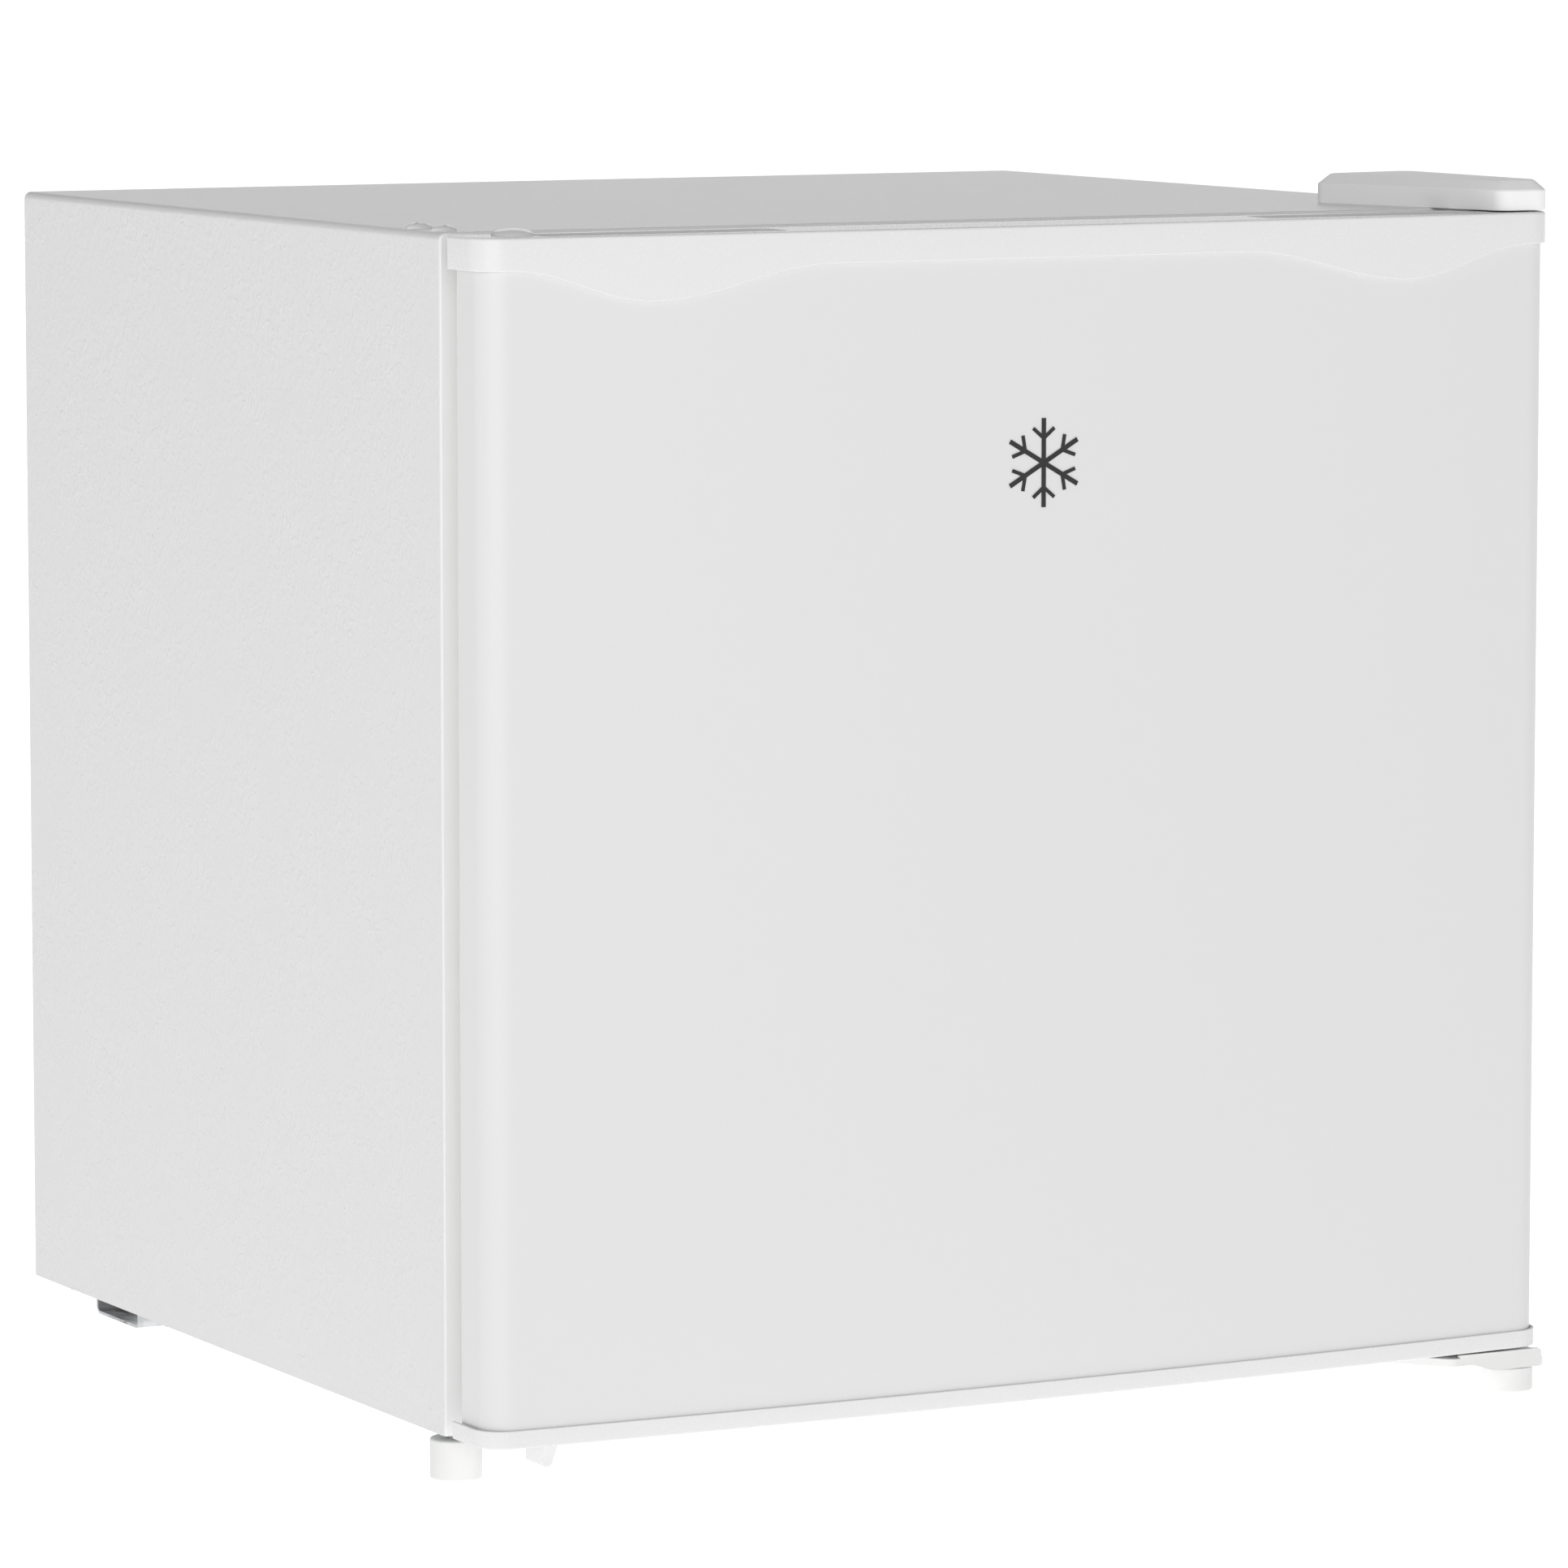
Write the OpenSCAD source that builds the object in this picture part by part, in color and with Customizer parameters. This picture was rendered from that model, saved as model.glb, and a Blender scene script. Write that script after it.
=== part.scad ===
// Cube-size mini fridge, 46 litre class: one insulated cabinet with a freezer box, and one door.
// Millimetres. X runs to the right seen from the front, Y to the back, Z up from the floor.
// The origin is on the floor, under the middle of the outline.

/* [Cabinet] */
// Width over the side panels
cab_w = 468; // [440:1:570]
// Depth of the cabinet, front flange to back panel
cab_d = 398; // [370:1:480]
// Height of the cabinet, bottom panel to top panel
cab_h = 454; // [430:1:560]
// Clear height of the cabinet above the floor
foot_clear = 18; // [17:0.5:24]
// Sheet thickness of the steel panels
sheet = 0.8; // [0.5:0.1:1.2]
// Radius of the top edges of the steel wrap
shell_r = 3; // [1.5:0.5:6]
// Thickness of the insulated walls
wall = 38; // [34:1:50]
// Wall of the plastic inner liner
liner_t = 1.5; // [1:0.1:2.5]
// Width of the steel flange around the front opening
flange_w = 30; // [28:1:33]
// Height of the compressor bay above the bottom panel
bay_h = 175; // [165:1:200]
// Depth of the compressor bay
bay_d = 135; // [125:1:160]

/* [Door] */
// Front flange plane to the foremost point of the door
door_front = 44; // [40:1:60]
// How far the middle of the door front stands proud of its ends
door_bow = 6; // [2:0.5:10]
// Corner radius of the door front seen from above
door_r = 12; // [8:1:16]
// How far the end caps stand outside the cabinet sides
cap_over = 1; // [0:0.5:3]
// Gap between the front flange and the rear of the end caps
cap_gap = 9; // [8:0.5:12]
// Gap between the front flange and the door skin
skin_gap = 13; // [12:0.5:16]
// Height of the top cap at its sides and middle
cap_h = 12.5; // [11:0.5:18]
// Extra height of the two dips in the top cap's lower edge
cap_dip = 12.5; // [8:0.5:16]
// Height of the bottom cap
base_cap_h = 7; // [5:0.5:12]
// Vertical clearance between door and cabinet ends
door_gap = 0.6; // [0.4:0.1:2]
// Width of the magnetic gasket
gasket_w = 14; // [12:0.5:16]

/* [Hinges] */
// Distance of the hinge axis from the side of the end caps
hinge_in = 14; // [13:0.5:18]
// Distance of the hinge axis in front of the flange
hinge_out = 17.5; // [17.5:0.5:20]
// Radius of the hinge pins
pin_r = 3; // [2.5:0.1:3.5]
// Running clearance of pins in bushes
run = 0.05; // [0.02:0.01:0.1]
// Thickness of the hinge plates
hinge_t = 3; // [2:0.5:3]
// Height of the cover over the top hinge
cover_h = 12; // [10.5:0.5:18]

/* [Inside] */
// Width of the freezer box
frz_w = 290; // [240:1:300]
// Height of the freezer box
frz_h = 106; // [80:1:112]
// Depth of the freezer box
frz_d = 240; // [180:1:250]
// Height of the wire shelf over the hump above the compressor bay
shelf_gap = 10; // [9:0.5:14]
// Radius of the shelf's frame rod
rod_r = 2.2; // [1.8:0.1:3]
// Height of the upper door rack
rack_hi_h = 36; // [25:1:38]
// Height of the lower door rack
rack_lo_h = 84; // [60:1:110]
// Radius of the thermostat knob
knob_r = 17; // [12:0.5:22]

/* [Feet] */
// Radius of the levelling feet
foot_r = 10; // [8:0.5:10]
// Radius of the foot studs
stud_r = 4; // [3:0.5:4]

/* [Hidden] */
$fn = 48;
eps = 0.01;
touch = 0.3;

// Outline planes of the cabinet
half_w = cab_w / 2;
y_back = (cab_d + door_front) / 2;
y_flange = y_back - cab_d;
z_bot = foot_clear;
z_top = foot_clear + cab_h;
in_half = half_w - sheet;
y_liner = y_flange + sheet;

// Food space inside the liner
room_half = half_w - wall;
room_z0 = z_bot + wall;
room_z1 = z_top - wall;
room_y1 = y_back - wall;
bay_y = y_back - bay_d;
bay_z = z_bot + bay_h;
hump_wall = 35;
hump_y = bay_y - hump_wall;
hump_z = bay_z + hump_wall;

// Door
cap_half = half_w + cap_over;
skin_half = cap_half - 2;
cap_end = door_front - door_bow;
door_z0 = z_bot + door_gap;
door_z1 = z_top - door_gap;
plate_t = 2;
skin_z0 = door_z0 + plate_t;
skin_z1 = door_z1 - plate_t;
liner_back = skin_gap - liner_t;
dip_x = cap_half - 70;
dip_in = 75;
dip_out = 58;
scoop_w = 103;
scoop_x1 = cap_half - 27;
scoop_x0 = scoop_x1 - scoop_w;
scoop_y0 = 15;
scoop_y1 = 35;
scoop_depth = 20;
hinge_x = cap_half - hinge_in;
hinge_y = y_flange - hinge_out;
boss_r = hinge_out - liner_back;
bush_r = pin_r + 1.4;
top_boss_h = 12;
low_boss_h = 12;
plug_x = -(hinge_x - 6);
plug_y = hinge_y - 6;
plug_r = 8.25;
plug_stem_r = 3.5;
gasket_x = cap_half - 14;
gasket_z0 = z_bot + 16;
gasket_z1 = z_top - 13.5;
dike_w = 18;
dike_x1 = room_half - 10;
dike_x0 = dike_x1 - dike_w;
dike_out = 20;
dike_z0 = room_z0 + 4;

// Racks in the door, shelf, freezer box and drip tray
lug_w = 5;
rack_half = dike_x0 - lug_w - 1;
rack_t = 2;
rack_y0 = y_flange - liner_back + 1;
shelf_z = hump_z + shelf_gap;
rack_hi_z = shelf_z + 8;
rack_lo_z = room_z0 + 10;
rack_hi_y1 = y_flange + 60;
rack_lo_y1 = y_flange + 65;
lug_z = 12;
shelf_y0 = rack_lo_y1 + 14;
shelf_y1 = room_y1 - 7;
frz_x0 = -(room_half - 6);
frz_x1 = frz_x0 + frz_w;
frz_z1 = room_z1 - 6;
frz_z0 = frz_z1 - frz_h;
frz_y0 = y_flange + 100;
frz_y1 = frz_y0 + frz_d;
frz_t = 1.5;
frame_d = 4;
flap_axis_y = frz_y0 - frame_d - 3.5;
flap_axis_z = frz_z1 - 7;
flap_barrel_r = 3;
flap_pin_r = 1.8;
tray_z1 = frz_z0 - 4;
tray_z0 = tray_z1 - 20;
dike_z1 = tray_z0 - 14;
therm_x0 = frz_x1 + 12;
therm_x1 = room_half - 2;
therm_z1 = room_z1;
therm_z0 = therm_z1 - 88;
therm_y0 = y_flange + 107;
therm_y1 = therm_y0 + 100;
knob_x = (therm_x0 + therm_x1) / 2;
knob_z = therm_z0 + 46;
shaft_r = 3;

// Compressor bay
comp_x = 60;
comp_y = y_back - 53;
comp_r = 52;
comp_z1 = bay_z - 27;
mount_dx = 75;
mount_dy = 36;
plate_z = z_bot;
plate_sheet = 1.2;
foot_plate_t = 3;
foot_plate_z = plate_z + 6;
comp_z0 = foot_plate_z + foot_plate_t;
bolt_r = 3;
drain_x = 60;
drain_y = room_y1 - 5;

// Feet and lower hinge
foot_in = 9;
left_foot_x = -(half_w - foot_in);
left_foot_y = y_flange + 9;
right_foot_x = half_w - foot_in;
right_foot_y = y_flange - 26;
low_plate_z = 13.5;
pad_left_h = 15.5;
pad_right_h = 10;

// Points of an arc round a centre
function arc(cx, cy, r, a0, a1, n) =
  [for (i = [0:n]) let (a = a0 + (a1 - a0) * i / n) [cx + r * cos(a), cy + r * sin(a)]];

// One corner of an outline, rounded to radius r between its two sides
function corner(p0, p1, p2, r, n) =
  r == 0 ? [p1] :
  let (u = (p0 - p1) / norm(p0 - p1), v = (p2 - p1) / norm(p2 - p1),
       half = acos(u * v) / 2, c = p1 + (u + v) / norm(u + v) * r / sin(half),
       d = r / tan(half), s = (p1 + u * d - c) / r, e = (p1 + v * d - c) / r, w = 180 - 2 * half)
  [for (i = [0:n]) c + r * (s * sin(w * (1 - i / n)) + e * sin(w * i / n)) / sin(w)];

// A closed outline with its own radius at each corner
function rounded(pts, radii, n = 6) =
  let (m = len(pts))
  [for (i = [0:m - 1]) each corner(pts[(i + m - 1) % m], pts[i], pts[(i + 1) % m], radii[i], n)];

// Outline of the door seen from above, with bowed front, flange plane at y = 0
function door_plan(hw, front, r, back) = concat(
  [[-hw, -back]],
  arc(-hw + r, -front + r, r, 180, 270, 8),
  [for (i = [1:23]) let (x = (hw - r) * (i / 12 - 1))
    [x, -front - door_bow * (1 - pow(x / (hw - r), 2))]],
  arc(hw - r, -front + r, r, 270, 360, 8),
  [[hw, -back]]);

// How far the top cap reaches down at x: a plain band with two smooth dips
function cap_reach(x) =
  let (a = abs(x), t = a < dip_x ? (dip_x - a) / dip_in : (a - dip_x) / dip_out)
  cap_h + (t < 1 ? cap_dip * (1 + cos(180 * t)) / 2 : 0);

module box(x0, x1, y0, y1, z0, z1) translate([x0, y0, z0]) cube([x1 - x0, y1 - y0, z1 - z0]);

module along_x(x0, x1) translate([x0, 0, 0]) rotate([90, 0, 90]) linear_extrude(x1 - x0) children();

module along_y(y0, y1) translate([0, y1, 0]) rotate([90, 0, 0]) linear_extrude(y1 - y0) children();

module along_z(z0, z1) translate([0, 0, z0]) linear_extrude(z1 - z0) children();

module post(x, y, z0, z1, r) translate([x, y, z0]) cylinder(h = z1 - z0, r = r);

module rod_x(x0, x1, y, z, r) translate([x0, y, z]) rotate([0, 90, 0]) cylinder(h = x1 - x0, r = r);

module rod_y(x, y0, y1, z, r) translate([x, y1, z]) rotate([90, 0, 0]) cylinder(h = y1 - y0, r = r);

// Round tube through a row of points
module pipe(pts, r) {
  for (i = [0:len(pts) - 2]) {
    d = pts[i + 1] - pts[i];
    translate(pts[i]) rotate([0, acos(d.z / norm(d)), atan2(d.y, d.x)]) cylinder(h = norm(d), r = r);
  }
  for (i = [1:len(pts) - 2]) translate(pts[i]) sphere(r = r);
}

module door_prism(hw, front, r, back, z0, z1)
  translate([0, y_flange, 0]) along_z(z0, z1) polygon(door_plan(hw, front, r, back));

// Side view of the food space with the hump over the compressor bay, grown by g
module room_profile(g) polygon([
  [y_liner - eps, room_z0 - g], [hump_y + g, room_z0 - g], [hump_y + g, hump_z - g],
  [room_y1 + g, hump_z - g], [room_y1 + g, room_z1 + g], [y_liner - eps, room_z1 + g]]);

module room_solid(g) along_x(-room_half - g, room_half + g) room_profile(g);

// Front view of the steel wrap, shrunk by g, with rounded top edges
module wrap_outline(g) polygon(rounded(
  [[-half_w + g, z_bot], [-half_w + g, z_top - g], [half_w - g, z_top - g], [half_w - g, z_bot]],
  [0, shell_r - g, shell_r - g, 0]));

// ---- Cabinet ----

// Steel wrap: two sides and the top, with a return flange round the front
module outer_shell() color("whitesmoke") difference() {
  along_y(y_flange, y_back) wrap_outline(0);
  along_y(y_liner, y_back + 1) wrap_outline(sheet);
  box(-in_half, in_half, y_liner, y_back + 1, z_bot - 1, z_bot + 1);
  box(-half_w + flange_w, half_w - flange_w, y_flange - 1, y_liner + 1, z_bot - 1, z_top - flange_w);
  top_hinge_holes(z_top - 2, z_top + 1);
  for (y = screw_cap_ys) post(screw_cap_x, y, z_top - 2, z_top + 1, screw_cap_stem);
}

screw_cap_x = -(half_w - 7);
screw_cap_ys = [y_flange + 10.6, y_flange + 32];
screw_cap_stem = 2;

module back_panel() color("whitesmoke")
  box(-in_half, in_half, y_back - sheet, y_back, bay_z + sheet, z_top - sheet - shell_r);

module bottom_panel() color("silver") difference() {
  box(-in_half, in_half, y_liner, bay_y - sheet, z_bot, z_bot + sheet);
  post(left_foot_x, left_foot_y, z_bot - 1, z_bot + 2, insert_r);
  lower_hinge_holes(z_bot - 1, z_bot + 2);
}

// Bottom edge of the front opening, with tabs behind the side flanges
module front_rail() color("whitesmoke") {
  box(-half_w + flange_w, half_w - flange_w, y_flange, y_liner, z_bot, z_bot + flange_w + 2);
  for (s = [-1, 1]) translate([s * (half_w - flange_w), 0, 0])
    box(-10, 10, y_liner, y_liner + sheet, z_bot + sheet, z_bot + 20);
}

// Sheet that lines the compressor bay: its ceiling and its front wall
module bay_panel() color("silver") difference() {
  along_x(-in_half, in_half) polygon([
    [bay_y - sheet, z_bot], [bay_y, z_bot], [bay_y, bay_z], [y_back, bay_z],
    [y_back, bay_z + sheet], [bay_y - sheet, bay_z + sheet]]);
  post(drain_x, drain_y, bay_z - 1, bay_z + 2, drain_r);
}

drain_r = 4;
lip_w = 18;
ledge_z = shelf_z - rod_r - touch;
ledge_w = 8;

// Vacuum-formed liner with a front lip, shelf ledges and the hump over the compressor bay
module inner_liner() color("white") difference() {
  union() {
    difference() {
      room_solid(liner_t);
      translate([0, -1, 0]) room_solid(0);
      room_solid(0);
      box(-half_w, half_w, y_liner - 2, y_liner, 0, z_top);
    }
    difference() {
      box(-room_half - lip_w, room_half + lip_w, y_liner, y_liner + liner_t,
        room_z0 - lip_w + 3, room_z1 + lip_w);
      box(-room_half, room_half, y_liner - 1, y_liner + 3, room_z0, room_z1);
    }
    for (s = [-1, 1]) translate([s * (room_half - ledge_w / 2), 0, 0])
      box(-ledge_w / 2, ledge_w / 2, y_liner + 12, room_y1, ledge_z - 4, ledge_z);
  }
  post(drain_x, drain_y, hump_z - 3, hump_z + 1, drain_r);
}

coil_r = 2.4;
coil_pitch = 45;
coil_runs = 5;
coil_ys = [for (i = [0:coil_runs - 1]) y_flange + 40 + i * coil_pitch];
coil_z0 = z_bot + 50;
coil_z1 = z_top - 40;
coil_depth = 5.4;

// Foamed-in insulation between the steel and the liner
module insulation_foam() color("wheat") difference() {
  along_y(y_liner, y_back - sheet) wrap_outline(sheet);
  box(-half_w, half_w, y_flange, y_back, z_bot - 1, z_bot + sheet);
  box(-half_w, half_w, bay_y - sheet, y_back + 1, z_bot - 1, bay_z + sheet);
  box(-half_w, half_w, y_back - sheet, y_back + 1, z_bot, z_top + 1);
  room_solid(liner_t);
  box(-room_half - lip_w, room_half + lip_w, y_flange, y_liner + liner_t,
    room_z0 - lip_w + 3, room_z1 + lip_w);
  for (s = [-1, 1]) translate([s * (half_w - flange_w), 0, 0])
    box(-10, 10, y_flange, y_liner + sheet, z_bot, z_bot + 20);
  for (s = [-1, 1]) translate([s * (in_half - coil_depth / 2), 0, 0])
    box(-coil_depth / 2 - eps, coil_depth / 2 + eps, coil_ys[0] - 6, coil_ys[coil_runs - 1] + 6,
      coil_z0 - 30, coil_z1 + 30);
  post(drain_x, drain_y, bay_z, hump_z, drain_r);
  post(left_foot_x, left_foot_y, z_bot, z_bot + insert_h, insert_r);
  top_hinge_holes(z_top - screw_len - 1, z_top + 1);
  lower_hinge_holes(z_bot - 1, z_bot + screw_len + 1);
  for (y = screw_cap_ys) post(screw_cap_x, y, z_top - 5, z_top + 1, screw_cap_stem);
}

// Condenser tube bonded behind both side panels: upright runs joined by round bends
module condenser_coil() color("peru") for (s = [-1, 1])
  translate([s * (in_half - coil_r - touch / 2), 0, 0]) {
    for (y = coil_ys) post(0, y, coil_z0, coil_z1, coil_r);
    for (i = [0:coil_runs - 2]) translate([0, (coil_ys[i] + coil_ys[i + 1]) / 2, i % 2 == 0 ? coil_z1 : coil_z0])
      rotate([0, i % 2 == 0 ? -90 : 90, 0]) rotate([0, 0, -90])
        rotate_extrude(angle = 180) translate([coil_pitch / 2, 0]) circle(r = coil_r, $fn = 24);
  }

// Domed covers over the two spare screw holes in the top panel
module screw_caps() color("white") for (y = screw_cap_ys) {
  post(screw_cap_x, y, z_top - 4, z_top, screw_cap_stem);
  translate([screw_cap_x, y, z_top]) difference() {
    rotate_extrude() polygon(concat([[0, 0], [5, 0]], arc(0, 0, 5, 0, 90, 8)));
    translate([-6, -6, 2.4]) cube([12, 12, 6]);
    translate([-3.5, -0.5, 1.8]) cube([7, 1, 2]);
    translate([-0.5, -3.5, 1.8]) cube([1, 7, 2]);
  }
}

// ---- Hinges ----

screw_r = 2.3;
screw_hole_r = 2.4;
screw_len = 14;
screw_head_r = 4.2;
screw_head_h = 2.2;
top_screws = [
  [half_w - 13, y_flange + 12], [half_w - 12, y_flange + 44], [half_w - 29, y_flange + 36]];
low_screws = [for (i = [0:2]) [half_w - 20 - 24 * i, y_flange + 12]];

module top_hinge_holes(z0, z1) for (p = top_screws) post(p.x, p.y, z0, z1, screw_hole_r);

module lower_hinge_holes(z0, z1) for (p = low_screws) post(p.x, p.y, z0, z1, screw_hole_r);

// Outline of the top hinge cover seen from above, shrunk by g
function cover_plan(g) = rounded(
  [[half_w - g, y_flange - 36 + g], [half_w - g, y_flange + 70 - g],
   [half_w - 52 + g * 1.2, y_flange + 63 - g], [half_w - 23 + g * 0.8, y_flange - 36 + g]],
  [7 - g * 0.5, 10 - g * 0.8, 6 - g * 0.5, 7 - g * 0.5]);

module top_hinge() color("silver") difference() {
  union() {
    along_z(z_top, z_top + hinge_t) polygon(cover_plan(3.4));
    post(hinge_x, hinge_y, door_z1 - top_boss_h + 1, z_top + eps, pin_r);
  }
  top_hinge_holes(z_top - 1, z_top + hinge_t + 1);
}

module top_hinge_screws() color("silver") for (p = top_screws) {
  post(p.x, p.y, z_top - screw_len, z_top + hinge_t, screw_r);
  post(p.x, p.y, z_top + hinge_t, z_top + hinge_t + screw_head_h, screw_head_r);
}

cover_chamfer = 4;
cover_t = 1.6;

// Snap-on cover over the top hinge, with a chamfered rim
module hinge_cover() color("white") difference() {
  hull() {
    along_z(z_top, z_top + cover_h - cover_chamfer) polygon(cover_plan(0));
    along_z(z_top, z_top + cover_h) polygon(cover_plan(cover_chamfer));
  }
  along_z(z_top - 1, z_top + cover_h - cover_chamfer) polygon(cover_plan(cover_t));
  along_z(z_top - 1, z_top + cover_h - cover_t) polygon(cover_plan(cover_chamfer + 1));
}

lip_t = 1.2;
lip_z0 = 10.5;
lip_z1 = z_bot - 0.2;
nose_y = y_flange - 37.6;

// Lower hinge: plate under the cabinet corner, front and side lips, pin and foot nut
module lower_hinge() color("white") difference() {
  union() {
    along_z(low_plate_z, low_plate_z + hinge_t) polygon(rounded(
      [[half_w, nose_y], [half_w, y_flange + 22], [half_w - 78, y_flange + 22],
       [half_w - 78, y_flange + 3], [half_w - 42, nose_y]], [1, 2, 3, 6, 6]));
    box(half_w - 76, half_w - 2, y_flange + 4, y_flange + 20, low_plate_z + hinge_t - eps, z_bot);
    along_y(nose_y, nose_y + lip_t) polygon([
      [half_w - 40, lip_z1], [half_w - 36, low_plate_z + 1], [half_w - 23, lip_z0],
      [half_w, lip_z0], [half_w, lip_z1]]);
    box(half_w - lip_t, half_w, nose_y, y_flange - 4, lip_z0, low_plate_z + 1);
    post(right_foot_x, right_foot_y, lip_z0, low_plate_z + 1, stud_r + 2.5);
    post(hinge_x, hinge_y, low_plate_z, door_z0 + low_boss_h - 1, pin_r);
  }
  post(right_foot_x, right_foot_y, lip_z0 - 1, low_plate_z + hinge_t + 1, stud_r + run);
  lower_hinge_holes(low_plate_z - 1, z_bot + 1);
}

module lower_hinge_screws() color("silver") for (p = low_screws) {
  post(p.x, p.y, low_plate_z, z_bot + screw_len, screw_r);
  post(p.x, p.y, low_plate_z - screw_head_h, low_plate_z, screw_head_r);
}

// ---- Feet ----

insert_r = 7;
insert_h = 20;

// Threaded plastic insert for the left foot, in the bottom of the cabinet
module foot_insert() color("gray") difference() {
  post(left_foot_x, left_foot_y, z_bot - 0.6, z_bot + insert_h, insert_r);
  post(left_foot_x, left_foot_y, z_bot - 2, z_bot + insert_h - 2, stud_r + run);
}

module foot_stud(x, y, z1) color("silver") post(x, y, 4, z1, stud_r);

module foot_pad(x, y, h) color("white") translate([x, y, 0]) difference() {
  rotate_extrude() polygon([
    [0, 0], [foot_r - 0.8, 0], [foot_r, 0.8], [foot_r, h - 0.6], [foot_r - 0.6, h], [0, h]]);
  translate([0, 0, 4]) cylinder(h = h, r = stud_r + run);
}

module left_foot_stud() foot_stud(left_foot_x, left_foot_y, z_bot + insert_h - 5);

module left_foot_pad() foot_pad(left_foot_x, left_foot_y, pad_left_h);

module right_foot_stud() foot_stud(right_foot_x, right_foot_y, low_plate_z + hinge_t);

module right_foot_pad() foot_pad(right_foot_x, right_foot_y, pad_right_h);

// ---- Compressor bay ----

plate_half = half_w - 16;
tab_x = plate_half - 8;
flat_in = 27.5;
well_in = 70;
plate_in = 100;
tip_z = plate_z - 7.5;
well_z = 5;
rest_x = 150;
rest_r = 9;

// Galvanised base plate: hat channel under the back of the cabinet, with two pressed feet and screw tabs
module base_plate() color("darkgray") difference() {
  union() {
    along_x(-plate_half, plate_half) polygon([
      [y_back, tip_z], [y_back, plate_z], [y_back - flat_in - plate_sheet, plate_z],
      [y_back - flat_in - plate_sheet, well_z + plate_sheet], [y_back - well_in, well_z + plate_sheet],
      [y_back - well_in, plate_z], [y_back - plate_in, plate_z], [y_back - plate_in, tip_z],
      [y_back - plate_in + plate_sheet, tip_z],
      [y_back - plate_in + plate_sheet, plate_z - plate_sheet],
      [y_back - well_in - plate_sheet, plate_z - plate_sheet],
      [y_back - well_in - plate_sheet, well_z], [y_back - flat_in, well_z],
      [y_back - flat_in, plate_z - plate_sheet],
      [y_back - plate_sheet, plate_z - plate_sheet], [y_back - plate_sheet, tip_z]]);
    for (s = [-1, 1]) post(s * rest_x, y_back - (flat_in + well_in) / 2, 0, well_z + eps, rest_r);
    for (s = [-1, 1]) translate([s * tab_x, 0, 0]) {
      box(-12, 12, y_back - flat_in + 3, y_back - 4, plate_z - eps, plate_z + 6);
      box(-12, 12, y_back - plate_in + 3, y_back - well_in - 4, plate_z - eps, plate_z + 6);
    }
  }
  for (s = [-1, 1]) for (y = plate_screw_ys)
    post(s * tab_x, y, tip_z, plate_z + 7, screw_hole_r);
  for (sx = [-1, 1]) for (sy = [-1, 1])
    post(comp_x + sx * mount_dx, comp_y + sy * mount_dy, tip_z, plate_z + 1, bolt_r + 0.1);
}

plate_screw_ys = [y_back - 14, y_back - plate_in + 14];

module base_plate_screws() color("silver") for (s = [-1, 1]) for (y = plate_screw_ys) {
  post(s * tab_x, y, plate_z - plate_sheet, plate_z + 5, screw_r);
  post(s * tab_x, y, plate_z - plate_sheet - screw_head_h, plate_z - plate_sheet, screw_head_r);
}

// Hermetic compressor: domed can with a welded seam, on a pressed foot plate
module compressor() color("dimgray") difference() {
  union() {
    translate([comp_x, comp_y, 0]) rotate_extrude($fn = 64) polygon(concat(
      [[0, comp_z0 - 1], [comp_r - 16, comp_z0 - 1]],
      arc(comp_r - 22, comp_z0 + 22, 20, -70, 0, 6),
      [[comp_r - 2, 92], [comp_r, 93], [comp_r, 98], [comp_r - 3, 99]],
      arc(comp_r - 31, comp_z1 - 28, 28, 0, 90, 8),
      [[0, comp_z1]]));
    along_z(foot_plate_z, foot_plate_z + foot_plate_t) polygon(rounded(
      [[comp_x - mount_dx - 12, comp_y - mount_dy - 12], [comp_x + mount_dx + 12, comp_y - mount_dy - 12],
       [comp_x + mount_dx + 12, comp_y + mount_dy + 12], [comp_x - mount_dx - 12, comp_y + mount_dy + 12]],
      [8, 8, 8, 8]));
  }
  for (sx = [-1, 1]) for (sy = [-1, 1])
    post(comp_x + sx * mount_dx, comp_y + sy * mount_dy, foot_plate_z - 1, foot_plate_z + 4, 5);
}

module compressor_grommets() color("black") for (sx = [-1, 1]) for (sy = [-1, 1])
  translate([comp_x + sx * mount_dx, comp_y + sy * mount_dy, 0]) difference() {
    union() {
      post(0, 0, plate_z, foot_plate_z, 9);
      post(0, 0, foot_plate_z - eps, foot_plate_z + foot_plate_t + eps, 5);
      post(0, 0, foot_plate_z + foot_plate_t, foot_plate_z + foot_plate_t + 3, 7.5);
    }
    post(0, 0, plate_z - 1, foot_plate_z + foot_plate_t + 4, bolt_r + 0.1);
  }

module compressor_bolts() color("silver") for (sx = [-1, 1]) for (sy = [-1, 1])
  translate([comp_x + sx * mount_dx, comp_y + sy * mount_dy, 0]) {
    post(0, 0, plate_z - plate_sheet - 5, foot_plate_z + foot_plate_t + 6, bolt_r);
    translate([0, 0, foot_plate_z + foot_plate_t + 3]) cylinder(h = 3, r = 5.5, $fn = 6);
    translate([0, 0, plate_z - plate_sheet - 4]) cylinder(h = 4, r = 5.5, $fn = 6);
  }

starter_x0 = comp_x + comp_r + touch;
starter_y0 = comp_y - 24;
starter_z0 = 52;

// Cover over the starter relay and terminals on the side of the compressor
module starter_box() color("black") difference() {
  box(starter_x0, starter_x0 + 36, starter_y0, starter_y0 + 50, starter_z0, starter_z0 + 62);
  box(starter_x0 - 1, starter_x0 + 34, starter_y0 + 2, starter_y0 + 48, starter_z0 + 2, starter_z0 + 60);
  rod_y(starter_x0 + 18, starter_y0 + 40, starter_y0 + 52, starter_z0 + 14, 6);
}

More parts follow.
